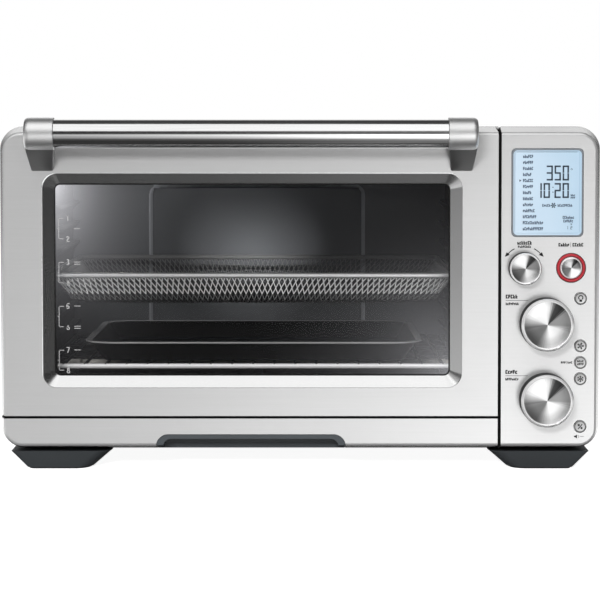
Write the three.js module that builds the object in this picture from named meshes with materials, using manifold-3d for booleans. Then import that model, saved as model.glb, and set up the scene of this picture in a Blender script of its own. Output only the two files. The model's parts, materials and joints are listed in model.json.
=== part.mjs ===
import * as THREE from 'three';
import { mergeVertices, toCreasedNormals } from 'three/addons/utils/BufferGeometryUtils.js';
import { LoftGeometry } from 'three/addons/geometries/LoftGeometry.js';
import Module from 'manifold-3d';

// A countertop convection toaster oven. Millimetres, +Z up, front towards -Y, +X to the
// right. The flat front face lies in the plane y = 0 while the pieces are made, and the
// whole group is then moved so that the origin is under the middle of its bounding box.

const wasm = await Module();
wasm.setup();

// ---------------------------------------------------------------- driving dimensions

const halfWidth = 275.5;
const bodyBottom = 16.8;
const bodyTop = 313.4;
const cornerRadius = 22;
const rearFace = 397.5;
const sheet = 1.5;
const gap = 0.3;

// Front skins: a flat face, a small bend, then a flange that flares back and outwards.
const fasciaDepth = 28;
const bendRadius = 2.5;
const flareAngle = THREE.MathUtils.degToRad(12);
const flare = Math.tan(flareAngle);
const seamBend = 0.9;

const doorRight = 180.2;
const doorBottom = 49.5;
const stripTop = 47.7;
const panelLeft = 182.5;

const recess = { left: -233.4, right: 146.6, bottom: 76.4, top: 270.2, radius: 12.7 };
const view = { left: -223.3, right: 136.2, bottom: 86.5, top: 260.9, radius: 5, facets: 5 };
const bevelDepth = 7;
const paneGrow = 7;
const viewCentreX = (view.left + view.right) / 2;

// Door hinge line, just behind the face and above the lower edge of the door.
const hingeY = 4.8;
const hingeZ = 54.1;
const hingeCentreX = -46.75;
const hingePlateNear = 214.75;
const hingePlateFar = 217.25;
const bracketNear = 205.25;
const bracketFar = 210.25;
const pinRadius = 1.9;
const bracketRadius = 2.8;
const bracketRear = 33.6;
const stayRadius = 40;
const stayHalfWidth = 2;

// Handle
const barRadius = 13;
const barHeight = 306.6;
const barReach = 27;
const capRadius = 14.5;
const capInner = 176.4;
const capOuter = 202.6;
const spigotRadius = 9;
const spigotLength = 14;
const armRoot = { inner: 176.7, outer: 202.4 };
const armFoot = { inner: 180.2, outer: 200 };
const armBottom = 272.5;

// Cavity
const frameY = 29.3;
const cavityFront = 31.2;
const cavityRear = 351;
const cavityHalf = 198;
const cavityLeft = viewCentreX - cavityHalf;
const cavityRight = viewCentreX + cavityHalf;
const cavityFloor = 58;
const cavityTop = 292;
const ledgeBase = 88;
const ledgePitch = 21;
const ledgeCount = 8;
const ledgeReach = 7;

// Curved pocket in the rear wall
const pocketX = viewCentreX - 2.2;
const pocketHalf = 115;
const pocketTop = 252;
const pocketDepth = 24;

const lampY = 266;
const lampZ = 262;

// Fan on the right-hand wall
const fanY = 215;
const fanZ = 183;
const fanRadius = 54;
const dividerX = 183;

// Racks
const rackLevel = ledgeBase;
const basketLevel = ledgeBase + 4 * ledgePitch;
const wire = 2.4;
const rackFront = 44;
const rackRear = 338;

const crumbLevel = 35.6;

// Control panel
const dialX = 223;
const selectSpot = { x: 203.5, z: 184.8 };
const startSpot = { x: 246, z: 184.9 };
const bigDialRadius = 24;
const smallDialRadius = 14.7;
const buttonX = 254.8;
const buttonRadius = 5.4;
const lcd = { left: 191.6, right: 257, bottom: 213, top: 293.4, radius: 4 };

// ---------------------------------------------------------------- materials

function material(color, roughness, metalness) {
  return new THREE.MeshStandardMaterial({ color, roughness, metalness });
}

const finish = {
  brushedSteel: [0xc9cacb, 0.32, 1],
  polishedSteel: [0xd8d9da, 0.14, 1],
  satinAluminium: [0xbfc1c3, 0.4, 1],
  paintedSteel: [0x8f9194, 0.5, 0.6],
  galvanised: [0x9a9da0, 0.45, 0.9],
  cavityCoating: [0x3c3f42, 0.42, 0.4],
  darkPlastic: [0x484f53, 0.55, 0],
  blackPlastic: [0x0c0c0d, 0.5, 0],
  glass: [0x8b9196, 0.04, 0],
  quartz: [0xd9d4c8, 0.3, 0],
  enamel: [0x141517, 0.18, 0],
  chromeWire: [0xd2d4d6, 0.15, 1],
  lcdBlue: [0xb9d6ef, 0.2, 0],
  redPlastic: [0xb32d37, 0.3, 0],
  board: [0x1f4d33, 0.6, 0],
  rubber: [0x2a2c2e, 0.85, 0],
};

// ---------------------------------------------------------------- geometry helpers

const group = new THREE.Group();
const creaseAngle = 0.6;
const largeRadius = 8;
const largeFacets = 5;
const smallFacets = 2;

// Segments round a turned piece, a knob, or a small hole
const largeTurn = 20;
const mediumTurn = 12;
const smallTurn = 8;

// A closed geometry as a solid: shared corners are welded and empty triangles dropped.
function solid(geometry) {
  const plain = new THREE.BufferGeometry().copy(geometry);
  plain.deleteAttribute('normal');
  plain.deleteAttribute('uv');
  const welded = mergeVertices(plain, 1e-4);
  const corners = welded.index.array;
  const triangles = [];
  for (let i = 0; i < corners.length; i += 3) {
    const [a, b, c] = corners.slice(i, i + 3);
    if (a !== b && b !== c && c !== a) triangles.push(a, b, c);
  }
  const mesh = new wasm.Mesh({
    numProp: 3,
    vertProperties: Float32Array.from(welded.attributes.position.array),
    triVerts: Uint32Array.from(triangles),
  });
  return new wasm.Manifold(mesh);
}

function union(solids) {
  return solids.reduce((whole, next) => whole.add(next));
}

function addPart(name, body, [color, roughness, metalness]) {
  const mesh = body.getMesh();
  const geometry = new THREE.BufferGeometry();
  geometry.setAttribute('position', new THREE.BufferAttribute(mesh.vertProperties, 3));
  geometry.setIndex(new THREE.BufferAttribute(mesh.triVerts, 1));
  const creased = toCreasedNormals(geometry, creaseAngle);
  const part = new THREE.Mesh(creased, material(color, roughness, metalness));
  part.name = name;
  group.add(part);
}

function box(x0, x1, y0, y1, z0, z1) {
  const geometry = new THREE.BoxGeometry(x1 - x0, y1 - y0, z1 - z0);
  geometry.translate((x0 + x1) / 2, (y0 + y1) / 2, (z0 + z1) / 2);
  return solid(geometry);
}

// A rectangle with rounded corners, anticlockwise. Radii run bottom left, bottom right,
// top right, top left; a corner's number of facets follows its nominal radius unless stated.
function roundedShape(area, grow = 0, shrink = [0, 0, 0, 0]) {
  const { left, right, bottom, top, radius } = area;
  const radii = Array.isArray(radius) ? radius : [radius, radius, radius, radius];
  const [x0, x1] = [left - grow + shrink[0], right + grow - shrink[1]];
  const [z0, z1] = [bottom - grow + shrink[2], top + grow - shrink[3]];
  const corners = [[x0, z0, 1, 1], [x1, z0, -1, 1], [x1, z1, -1, -1], [x0, z1, 1, -1]];
  const points = corners.flatMap(([x, z, toX, toZ], i) => {
    const facets = area.facets ?? (radii[i] >= largeRadius ? largeFacets : smallFacets);
    const r = Math.max(radii[i] + grow - Math.max(...shrink), 0.4);
    return Array.from({ length: facets + 1 }, (_, step) => {
      const angle = ((i + 2 + step / facets) * Math.PI) / 2;
      return new THREE.Vector2(x + toX * r + r * Math.cos(angle), z + toZ * r + r * Math.sin(angle));
    });
  });
  return new THREE.Shape(points);
}

function polygon(points) {
  return new THREE.Shape(points.map(([a, b]) => new THREE.Vector2(a, b)));
}

function extrude(shape, depth, curveSegments = 3) {
  return new THREE.ExtrudeGeometry(shape, { depth, bevelEnabled: false, curveSegments });
}

// Shape in (x, z), from y0 to y1
function extrudeY(shape, y0, y1, curveSegments) {
  const geometry = extrude(shape, y1 - y0, curveSegments);
  geometry.rotateX(Math.PI / 2);
  geometry.translate(0, y1, 0);
  return solid(geometry);
}

// Shape in (y, z), from x0 to x1
function extrudeX(shape, x0, x1, curveSegments) {
  const geometry = extrude(shape, x1 - x0, curveSegments);
  const axes = [new THREE.Vector3(0, 1, 0), new THREE.Vector3(0, 0, 1), new THREE.Vector3(1, 0, 0)];
  geometry.applyMatrix4(new THREE.Matrix4().makeBasis(...axes));
  geometry.translate(x0, 0, 0);
  return solid(geometry);
}

// Shape in (x, y), from z0 to z1
function extrudeZ(shape, z0, z1, curveSegments) {
  const geometry = extrude(shape, z1 - z0, curveSegments);
  geometry.translate(0, 0, z0);
  return solid(geometry);
}

// Skins a row of outlines in (x, z); stations run from the rear to the front.
function loftY(stations) {
  const sections = stations.map(([shape, y]) =>
    shape.getPoints().map((p) => new THREE.Vector3(p.x, y, p.y)));
  return solid(new LoftGeometry(sections, { capStart: true, capEnd: true }));
}

// Skins a row of outlines in (x, y); stations run upwards.
function loftZ(stations) {
  const sections = stations.map(([shape, z]) =>
    shape.getPoints().map((p) => new THREE.Vector3(p.x, p.y, z)));
  return solid(new LoftGeometry(sections, { capStart: true, capEnd: true }));
}

// Revolves [radius, height] points about the y axis, and lays that axis along another one.
function lathe(points, segments, axis, [x, y, z]) {
  const profile = points.map(([r, h]) => new THREE.Vector2(r, h));
  const geometry = new THREE.LatheGeometry(profile, segments);
  if (axis === 'x') geometry.rotateZ(-Math.PI / 2);
  if (axis === 'z') geometry.rotateX(Math.PI / 2);
  geometry.translate(x, y, z);
  return solid(geometry);
}

function cylinder(radius, low, high, segments, axis, place) {
  return lathe([[0, low], [radius, low], [radius, high], [0, high]], segments, axis, place);
}

function grid(count, pitch) {
  return Array.from({ length: count }, (_, i) => (i - (count - 1) / 2) * pitch);
}

// ---------------------------------------------------------------- front skins

// A front skin blank. Outer sides flare back to the cabinet outline; seam sides run straight.
function skinBlank(area, flared, inset) {
  const bends = [0, 26, 52, 78].map((degrees) => {
    const angle = THREE.MathUtils.degToRad(degrees);
    return { y: bendRadius * (1 - Math.cos(angle)), in: 1 - Math.sin(angle) / Math.cos(flareAngle) };
  });
  const rear = { y: fasciaDepth + (inset > 0 ? 1 : 0), in: 0 };
  const stations = [rear, ...bends.reverse()].map((bend) => {
    const bent = Math.max(bend.in, 0);
    const outer = bent * bendRadius + flare * Math.max(fasciaDepth - bend.y, 0) + inset;
    const seam = bent * seamBend + inset;
    const shrink = flared.map((isFlared) => (isFlared ? outer : seam));
    return [roundedShape(area, 0, shrink), bend === rear ? rear.y : bend.y + inset];
  });
  return loftY(stations);
}

function skin(area, flared) {
  return skinBlank(area, flared, 0).subtract(skinBlank(area, flared, sheet));
}

const doorArea = {
  left: -halfWidth, right: doorRight, bottom: doorBottom, top: bodyTop,
  radius: [3, 3, 3, cornerRadius],
};
const stripArea = {
  left: -halfWidth, right: doorRight, bottom: bodyBottom, top: stripTop,
  radius: [cornerRadius, 3, 3, 3],
};
const panelArea = {
  left: panelLeft, right: halfWidth, bottom: bodyBottom, top: bodyTop,
  radius: [3, cornerRadius, cornerRadius, 3],
};

// ---------------------------------------------------------------- door

function hingeSpan(side, near, far) {
  const ends = [hingeCentreX + side * near, hingeCentreX + side * far];
  return ends.sort((a, b) => a - b);
}

const sides = [['left', -1], ['right', 1]];
const notchTop = hingeZ + 3.6;

// Room for the fixed hinge brackets in the lower edge of the door
function hingeNotch(side) {
  const [x0, x1] = hingeSpan(side, bracketNear - 1.5, hingePlateFar + 0.6);
  return box(x0, x1, sheet + 0.3, fasciaDepth + 2, doorBottom - 2, notchTop);
}

function makeDoor() {
  let frame = skin(doorArea, [true, false, false, true]);
  const bevelWall = loftY([
    [roundedShape(view, sheet), bevelDepth],
    [roundedShape(recess, sheet), sheet / 2],
  ]);
  const bevelCut = loftY([
    [roundedShape(view), bevelDepth + 1],
    [roundedShape(view), bevelDepth],
    [roundedShape(recess), 0],
    [roundedShape(recess, sheet), -1],
  ]);
  frame = frame.add(bevelWall).subtract(bevelCut);
  for (const [, side] of sides) frame = frame.subtract(hingeNotch(side));
  addPart('door_frame', frame, finish.brushedSteel);

  // Two panes with a spacer between them, held by the liner
  const outerPaneY = bevelDepth + gap;
  const spacerY = outerPaneY + 4 + gap;
  const innerPaneY = 20.3;
  const outerPane = extrudeY(roundedShape(view, paneGrow), outerPaneY, outerPaneY + 4);
  addPart('door_outer_glass', outerPane, finish.glass);
  const spacer = extrudeY(roundedShape(view, 6.5), spacerY, innerPaneY - gap)
    .subtract(extrudeY(roundedShape(view, 4), spacerY - 1, innerPaneY));
  addPart('door_glass_spacer', spacer, finish.galvanised);
  const innerPane = extrudeY(roundedShape(view, paneGrow), innerPaneY, innerPaneY + 3);
  addPart('door_inner_glass', innerPane, finish.glass);

  const linerY = fasciaDepth - 2.2;
  const linerInset = sheet + 0.5 + flare * (fasciaDepth - linerY);
  let liner = extrudeY(roundedShape(doorArea, -linerInset), linerY, fasciaDepth);
  liner = liner.add(extrudeY(roundedShape(view, 5.5), innerPaneY + 3 + gap, linerY + 0.5));
  liner = liner.subtract(extrudeY(roundedShape(view, 0.5), innerPaneY, fasciaDepth + 1));
  for (const [, side] of sides) {
    const [x0, x1] = hingeSpan(side, hingePlateNear - 0.6, hingePlateFar + 0.6);
    liner = liner.subtract(hingeNotch(side));
    liner = liner.subtract(box(x0, x1, linerY - 1, fasciaDepth + 1, 82.5, 92.5));
  }
  addPart('door_liner', liner, finish.paintedSteel);

  for (const [name, side] of sides) addPart(`door_hinge_${name}`, doorHinge(side), finish.galvanised);
}

// The moving half of a hinge: a plate behind the skin, its pin, and the curved stay that
// runs back through the front frame and carries the door in its travel.
function doorHinge(side) {
  const [x0, x1] = hingeSpan(side, hingePlateNear, hingePlateFar);
  const plate = polygon([
    [hingeY - 2.8, hingeZ - 2], [hingeY + 2.5, hingeZ - 2.6], [20, 74], [23.2, 78],
    [23.2, 100], [13, 100], [hingeY - 2.8, 70],
  ]);
  const start = Math.acos((20 - hingeY) / stayRadius);
  const end = -THREE.MathUtils.degToRad(42.7);
  const arc = new THREE.Shape();
  arc.absarc(hingeY, hingeZ, stayRadius + stayHalfWidth, end, start, false);
  arc.absarc(hingeY, hingeZ, stayRadius - stayHalfWidth, start, end, true);
  const pin = cylinder(pinRadius, -0.5, hingePlateNear - bracketNear + 1, 10, 'x', [0, 0, 0]);
  const flip = side > 0 ? pin.rotate([0, 0, 180]) : pin;
  const pinRoot = hingeCentreX + side * hingePlateNear;
  return union([
    extrudeX(plate, x0, x1),
    extrudeX(arc, x0, x1, 5),
    flip.translate([pinRoot, hingeY, hingeZ]),
  ]);
}

function makeHandle() {
  const barHalf = capInner - gap;
  const spigot = barHalf + spigotLength;
  const bore = 7.4;
  const bar = lathe([
    [bore, -spigot], [spigotRadius, -spigot], [spigotRadius, -barHalf], [barRadius, -barHalf],
    [barRadius, barHalf], [spigotRadius, barHalf], [spigotRadius, spigot], [bore, spigot],
    [bore, -spigot],
  ], largeTurn, 'x', [viewCentreX, -barReach, barHeight]);
  addPart('handle_bar', bar, finish.polishedSteel);
  for (const [name, side] of sides) {
    addPart(`handle_bracket_${name}`, handleBracket(side), finish.satinAluminium);
  }
}

// End cap of the handle, with a tapered arm that runs back and down to the door face
function handleBracket(side) {
  const centre = [viewCentreX, -barReach, barHeight];
  let cap = lathe([
    [0, capInner], [capRadius, capInner], [capRadius, capOuter - 3.5],
    [capRadius - 1.2, capOuter - 0.8], [capRadius - 3.2, capOuter], [0, capOuter],
  ], largeTurn, 'x', [0, 0, 0]);
  const socketEnd = capInner + spigotLength + 0.5;
  const socket = cylinder(spigotRadius + 0.6, capInner - 1, socketEnd, mediumTurn, 'x', [0, 0, 0]);
  cap = cap.subtract(socket);
  if (side < 0) cap = cap.rotate([0, 0, 180]);
  cap = cap.translate(centre);
  const reach = -gap;
  const arm = new THREE.Shape();
  arm.moveTo(reach, armBottom);
  arm.lineTo(reach, bodyTop - 9);
  arm.quadraticCurveTo(-12, barHeight + 11, -barReach + 2, barHeight + 12);
  arm.lineTo(-barReach - 11, barHeight - 6);
  arm.quadraticCurveTo(-barReach + 6, armBottom + 14, reach, armBottom);
  const taperTop = barHeight + 20;
  const taper = polygon([
    [armFoot.inner, armBottom - 1], [armFoot.outer, armBottom - 1],
    [armRoot.outer, barHeight - capRadius], [armRoot.outer, taperTop],
    [armRoot.inner, taperTop], [armRoot.inner, barHeight - capRadius],
  ]);
  const arms = extrudeX(arm, armRoot.inner, armRoot.outer, 5).intersect(extrudeY(taper, -60, 5));
  const blade = arms.subtract(socket.translate([0, -barReach, barHeight]));
  const turned = side < 0 ? blade.mirror([1, 0, 0]) : blade;
  return cap.add(turned.translate([viewCentreX, 0, 0]));
}

// ---------------------------------------------------------------- cabinet

const cabinet = {
  left: -halfWidth + 1, right: halfWidth - 1, bottom: bodyBottom + 1, top: bodyTop - 1,
  radius: cornerRadius - 1,
};
const baseTop = bodyBottom + 1 + sheet;
const flangeX = 250;
const ribCentreY = 215;
const cordSpot = { x: 218, z: 52 };

function makeCabinet() {
  let wrap = extrudeY(roundedShape(cabinet), frameY, rearFace)
    .subtract(extrudeY(roundedShape(cabinet, -sheet), frameY - 1, rearFace + 1));
  wrap = wrap.subtract(box(-flangeX, flangeX, frameY - 1, rearFace + 1, 0, baseTop + 1));
  const ventHalf = 2;
  const skinReach = 6;
  for (const y of grid(5, 28).map((step) => step + 228)) {
    const slot = (inner, outer, low, high) =>
      box(Math.min(inner, outer), Math.max(inner, outer), y - ventHalf, y + ventHalf, low, high);
    const right = slot(halfWidth - skinReach, halfWidth + 2, 84, 124);
    const left = slot(-halfWidth + skinReach, -halfWidth - 2, 204, 238);
    wrap = wrap.subtract(right).subtract(left).subtract(right.translate([0, 0, 56]));
  }
  // Ribbed plate-warming area on the top
  const ribBase = 5;
  const ribCrest = 2;
  const ribLength = 380;
  for (const y of grid(7, 32).map((step) => step + ribCentreY)) {
    const rib = polygon([
      [y - ribBase, cabinet.top - 0.5], [y + ribBase, cabinet.top - 0.5],
      [y + ribCrest, cabinet.top + 0.9], [y - ribCrest, cabinet.top + 0.9],
    ]);
    wrap = wrap.add(extrudeX(rib, -ribLength / 2, ribLength / 2));
  }
  addPart('outer_wrap', wrap, finish.brushedSteel);

  const rearShape = roundedShape(cabinet, -sheet - gap);
  let rear = extrudeY(rearShape, rearFace - sheet, rearFace);
  rear = rear.subtract(box(-halfWidth, halfWidth, rearFace - 3, rearFace + 3, 0, baseTop + 1));
  const rearVent = { x: 104, halfWidth: 13, height: 8, pitch: 34 };
  for (const z of [74, 94, 114]) {
    for (const x of grid(5, rearVent.pitch).map((step) => step + rearVent.x)) {
      rear = rear.subtract(box(x - rearVent.halfWidth, x + rearVent.halfWidth,
        rearFace - 3, rearFace + 3, z, z + rearVent.height));
    }
  }
  rear = rear.subtract(cylinder(8, rearFace - 4, rearFace + 4, 20, 'y', [cordSpot.x, 0, cordSpot.z]));
  addPart('rear_panel', rear, finish.galvanised);

  const pan = { left: -flangeX + 1, right: flangeX - 1, bottom: 31.5, top: rearFace - 3, radius: 4 };
  let base = extrudeZ(roundedShape(pan), bodyBottom + 1, baseTop);
  for (const y of grid(5, 30)) base = base.subtract(box(-110, 20, y + 240, y + 248, 10, 30));
  base = base.subtract(box(196, 236, 120, 124, 10, 30)).subtract(box(196, 236, 134, 138, 10, 30));
  base = base.add(box(-flangeX + 2, -flangeX + 2 + sheet, 60, 380, baseTop - 0.5, baseTop + 12));
  base = base.add(box(flangeX - 2 - sheet, flangeX - 2, 60, 380, baseTop - 0.5, baseTop + 12));
  // Runners under the crumb tray
  for (const x of [cavityLeft + 14, viewCentreX, cavityRight - 14]) {
    base = base.add(box(x - 1, x + 1, 44, 360, baseTop - 0.5, crumbLevel - gap));
  }
  addPart('base_pan', base, finish.galvanised);

  const gland = lathe([
    [0, -9], [7.6, -9], [7.6, 0.4], [11.5, 0.4], [11, 2.4], [6.5, 3], [4.2, 3], [4.2, -2], [0, -2],
  ], mediumTurn, 'y', [cordSpot.x, rearFace, cordSpot.z]);
  addPart('cord_gland', gland, finish.blackPlastic);
  makeFeet();
}

// Moulded feet that taper downwards, with broad inner corners
function makeFeet() {
  const footHeight = bodyBottom - gap;
  const [inner, outer] = [172.6, 264.6];
  const taper = { inner: 17, outer: 14.3, ends: 3 };
  const places = [['front', 8, 56], ['rear', 336, 384]];
  const stations = [[1.12, 0], [1, 1.6], [0, footHeight]];
  for (const [end, front, back] of places) {
    for (const [name, side] of sides) {
      const section = (step, z) => {
        const ends = [side * (inner + step * taper.inner), side * (outer - step * taper.outer)];
        const [left, right] = ends.sort((a, b) => a - b);
        const [bottom, top] = [front + step * taper.ends, back - step * taper.ends];
        const radius = side < 0 ? [4, 14, 14, 4] : [14, 4, 4, 14];
        return [roundedShape({ left, right, bottom, top, radius, facets: 3 }), z];
      };
      const boss = box(side * 215 - 12, side * 215 + 12, back - 14, back - 6,
        footHeight - 1, bodyBottom + 1 - gap);
      const foot = loftZ(stations.map(([step, z]) => section(step, z))).add(boss);
      addPart(`foot_${end}_${name}`, foot, finish.rubber);
    }
  }
}

function makeFrontFrame() {
  const area = {
    left: -halfWidth + 4, right: dividerX - 1, bottom: 48.8, top: bodyTop - 4,
    radius: [2, 2, 2, cornerRadius - 4],
  };
  const mouth = {
    left: cavityLeft - 1, right: cavityRight + 1, bottom: 64, top: cavityTop - 2, radius: 6,
  };
  let frame = extrudeY(roundedShape(area), frameY, frameY + sheet);
  frame = frame.subtract(extrudeY(roundedShape(mouth), frameY - 1, frameY + 4));
  for (const [, side] of sides) {
    const [stay0, stay1] = hingeSpan(side, hingePlateNear - 0.7, hingePlateFar + 0.7);
    frame = frame.subtract(box(stay0, stay1, frameY - 1, frameY + 3, 80.4, 88.8));
    const [eye0, eye1] = hingeSpan(side, bracketNear - 0.6, bracketFar + 0.6);
    frame = frame.subtract(box(eye0, eye1, frameY - 1, frameY + 3, 48, notchTop));
  }
  addPart('front_frame', frame, finish.paintedSteel);

  for (const [name, side] of sides) {
    const [x0, x1] = hingeSpan(side, bracketNear, bracketFar);
    const [f0, f1] = hingeSpan(side, bracketNear - 1.4, bracketFar);
    const arm = new THREE.Shape();
    arm.absarc(hingeY, hingeZ, bracketRadius, Math.PI / 2, Math.PI * 1.5, false);
    arm.lineTo(bracketRear, hingeZ - bracketRadius);
    arm.lineTo(bracketRear, hingeZ + 2);
    arm.lineTo(hingeY + 5, hingeZ + 2);
    let bracket = extrudeX(arm, x0, x1, 4);
    const flange = box(f0, f1, frameY + sheet + gap, bracketRear, hingeZ - bracketRadius, 74);
    bracket = bracket.add(flange);
    bracket = bracket.subtract(cylinder(pinRadius + 0.4, x0 - 1, x1 + 1, 10, 'x', [0, hingeY, hingeZ]));
    addPart(`hinge_bracket_${name}`, bracket, finish.galvanised);
  }
}

// ---------------------------------------------------------------- cavity

// A side wall pressed with ledges that carry the racks, as one folded sheet
function sideWall(side) {
  const wall = viewCentreX + side * cavityHalf;
  const inner = [[0, cavityFloor + gap]];
  const outer = [[-sheet, cavityFloor + gap]];
  for (let i = 0; i < ledgeCount; i += 1) {
    const z = ledgeBase + i * ledgePitch;
    inner.push([0, z - 9], [ledgeReach, z - 3], [ledgeReach, z], [0, z]);
    outer.push([-sheet, z - 8.3], [ledgeReach - sheet, z - 2.3]);
    outer.push([ledgeReach - sheet, z - sheet], [-sheet, z - sheet]);
  }
  inner.push([0, cavityTop - gap]);
  outer.push([-sheet, cavityTop - gap]);
  const points = [...inner, ...outer.reverse()].map(([reach, z]) => [wall - side * reach, z]);
  return extrudeY(polygon(points), cavityFront, cavityRear - gap);
}

const heaterPlaces = [
  ['heater_top_1', 82, 280], ['heater_top_2', 142, 280], ['heater_top_3', 234, 280],
  ['heater_top_4', 300, 280], ['heater_bottom_1', 120, 70], ['heater_bottom_2', 262, 70],
];

function makeCavity() {
  const shades = finish.cavityCoating;
  let left = sideWall(-1);
  let right = sideWall(1);
  for (const [, y, z] of heaterPlaces) {
    left = left.subtract(cylinder(5, cavityLeft - 4, cavityLeft + 4, 8, 'x', [0, y, z]));
    right = right.subtract(cylinder(5, cavityRight - 4, cavityRight + 4, 8, 'x', [0, y, z]));
  }
  // Air slots in front of the fan, in the flats between the ledges
  const slot = { pitch: 21, halfLength: 8, halfHeight: 3, belowLedge: 14.5 };
  for (let row = 2; row < 7; row += 1) {
    const z = ledgeBase + row * ledgePitch - slot.belowLedge;
    const reach = Math.sqrt(Math.max(fanRadius ** 2 - (z - fanZ) ** 2, 0));
    const count = Math.floor((2 * reach) / slot.pitch);
    for (const y of grid(count, slot.pitch).map((step) => step + fanY)) {
      right = right.subtract(box(cavityRight - 3, cavityRight + 4,
        y - slot.halfLength, y + slot.halfLength, z - slot.halfHeight, z + slot.halfHeight));
    }
  }
  left = left.subtract(cylinder(17.2, cavityLeft - 5, cavityLeft + 5, mediumTurn, 'x', [0, lampY, lampZ]));
  addPart('cavity_left_wall', left, shades);
  addPart('cavity_right_wall', right, shades);

  const ceiling = box(cavityLeft - sheet, cavityRight + sheet, cavityFront, cavityRear + 6,
    cavityTop, cavityTop + sheet);
  addPart('cavity_ceiling', ceiling, shades);

  let floor = box(cavityLeft - sheet, cavityRight + sheet, cavityFront, cavityRear - gap,
    cavityFloor - sheet, cavityFloor);
  const hole = { left: -92, right: 92, bottom: 58, top: 332, radius: 8 };
  const holeShift = 97;
  for (const side of [-1, 1]) {
    const cut = extrudeZ(roundedShape(hole), cavityFloor - 4, cavityFloor + 2);
    floor = floor.subtract(cut.translate([viewCentreX + side * holeShift, 0, 0]));
  }
  addPart('cavity_floor', floor, shades);
  addPart('cavity_rear_wall', rearWall(), shades);

  const tubeRadius = 4.2;
  const ferruleRadius = 6;
  for (const [name, y, z] of heaterPlaces) {
    const half = cavityHalf - 5;
    const end = cavityHalf + 9;
    const tube = lathe([
      [0, -end], [tubeRadius, -end], [tubeRadius, -half], [ferruleRadius, -half],
      [ferruleRadius, 12 - half], [tubeRadius, 13 - half], [tubeRadius, half - 13],
      [ferruleRadius, half - 12], [ferruleRadius, half], [tubeRadius, half],
      [tubeRadius, end], [0, end],
    ], 6, 'x', [viewCentreX, y, z]);
    addPart(name, tube, finish.quartz);
  }
  makeLamp();
}

// The rear wall has a curved pocket that lets a round pan sit further back
function rearWall() {
  const low = cavityFloor + 4;
  const pocket = {
    left: pocketX - pocketHalf, right: pocketX + pocketHalf, bottom: low, top: pocketTop, radius: 8,
  };
  const bow = (grow) => {
    const [half, depth] = [pocketHalf + grow, pocketDepth + grow];
    const [shoulder, rise] = [half * 0.8, depth * 0.82];
    const shape = new THREE.Shape();
    shape.moveTo(pocketX - half, cavityRear - 2);
    shape.lineTo(pocketX + half, cavityRear - 2);
    shape.lineTo(pocketX + half, cavityRear + 2);
    shape.quadraticCurveTo(pocketX + shoulder, cavityRear + rise, pocketX, cavityRear + depth);
    shape.quadraticCurveTo(pocketX - shoulder, cavityRear + rise, pocketX - half, cavityRear + 2);
    return shape;
  };
  const face = (grow) => extrudeY(roundedShape(pocket, grow), cavityRear - 3, cavityRear + 40);
  const outer = extrudeZ(bow(sheet), low - 5, pocketTop + 5, 6).intersect(face(sheet));
  const inner = extrudeZ(bow(0), low - 8, pocketTop + 8, 6).intersect(face(0));
  const plate = box(cavityLeft - sheet, cavityRight + sheet, cavityRear, cavityRear + sheet,
    cavityFloor - sheet, cavityTop - gap);
  const behind = box(-halfWidth, halfWidth, cavityRear, rearFace, 0, bodyTop);
  return plate.add(outer.intersect(behind)).subtract(inner);
}

function makeLamp() {
  const lens = lathe([
    [0, -4], [13, -4], [16, -3], [16.6, 0.4], [18.5, 0.4], [18.5, 2.4], [12, 6.4], [0, 8.4],
  ], mediumTurn, 'x', [cavityLeft, lampY, lampZ]);
  addPart('lamp_lens', lens, finish.glass);
  const cup = lathe([
    [0, -25], [9, -25], [12, -20], [17.5, -7], [22, -7], [22, -sheet - gap], [17.5, -sheet - gap],
    [16, -5], [10, -19], [0, -21],
  ], mediumTurn, 'x', [cavityLeft, lampY, lampZ]);
  addPart('lamp_housing', cup, finish.galvanised);
}

// ---------------------------------------------------------------- fan

function makeFan() {
  const blades = [];
  const bladeCount = 10;
  for (let i = 0; i < bladeCount; i += 1) {
    const blade = polygon([[-6, 14], [6, 20], [5, fanRadius - 4], [-3, fanRadius - 8]]);
    const solidBlade = extrudeY(blade, -0.8, 0.8);
    const turn = (i * 360) / bladeCount;
    blades.push(solidBlade.translate([6.4, 0, 0]).rotate([turn, 0, 0]));
  }
  const discRadius = fanRadius - 16;
  const discPoints = [[0, 12], [discRadius, 12], [discRadius, 13.4], [0, 13.4]];
  const disc = lathe(discPoints, largeTurn, 'x', [0, 0, 0]);
  const hub = cylinder(8, 2, 17, smallTurn, 'x', [0, 0, 0]);
  let rotor = union([disc, hub, ...blades]);
  rotor = rotor.subtract(cylinder(3.6, 5, 18, smallTurn, 'x', [0, 0, 0]));
  addPart('convection_fan', rotor.translate([cavityRight + 3.4, fanY, fanZ]), finish.galvanised);

  let divider = box(dividerX, dividerX + sheet, 31.2, rearFace - sheet - gap, baseTop + gap, 310);
  divider = divider.subtract(cylinder(9, dividerX - 2, dividerX + 4, mediumTurn, 'x', [0, fanY, fanZ]));
  for (const z of grid(5, 16)) {
    divider = divider.subtract(box(dividerX - 2, dividerX + 4, 320, 370, z + 184, z + 190));
  }
  addPart('divider_wall', divider, finish.galvanised);

  const motorX = dividerX + sheet + gap;
  const motor = union([
    lathe([[0, 0], [24, 0], [26, 3], [26, 26], [21, 31], [0, 31]], mediumTurn, 'x', [motorX, fanY, fanZ]),
    cylinder(3, -19, 1, smallTurn, 'x', [motorX, fanY, fanZ]),
    box(motorX, motorX + 2, fanY - 42, fanY + 42, fanZ - 7, fanZ + 7),
  ]);
  addPart('fan_motor', motor, finish.galvanised);
}

// ---------------------------------------------------------------- racks and trays

// A straight wire, drawn with few facets
function rod(axis, radius, low, high, place, facets = 6) {
  return cylinder(radius, low, high, facets, axis, place);
}

const trayHalf = cavityHalf - 2;
const railWidth = 12;
const basketDepth = 24;
const basketCorner = 22;

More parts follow.
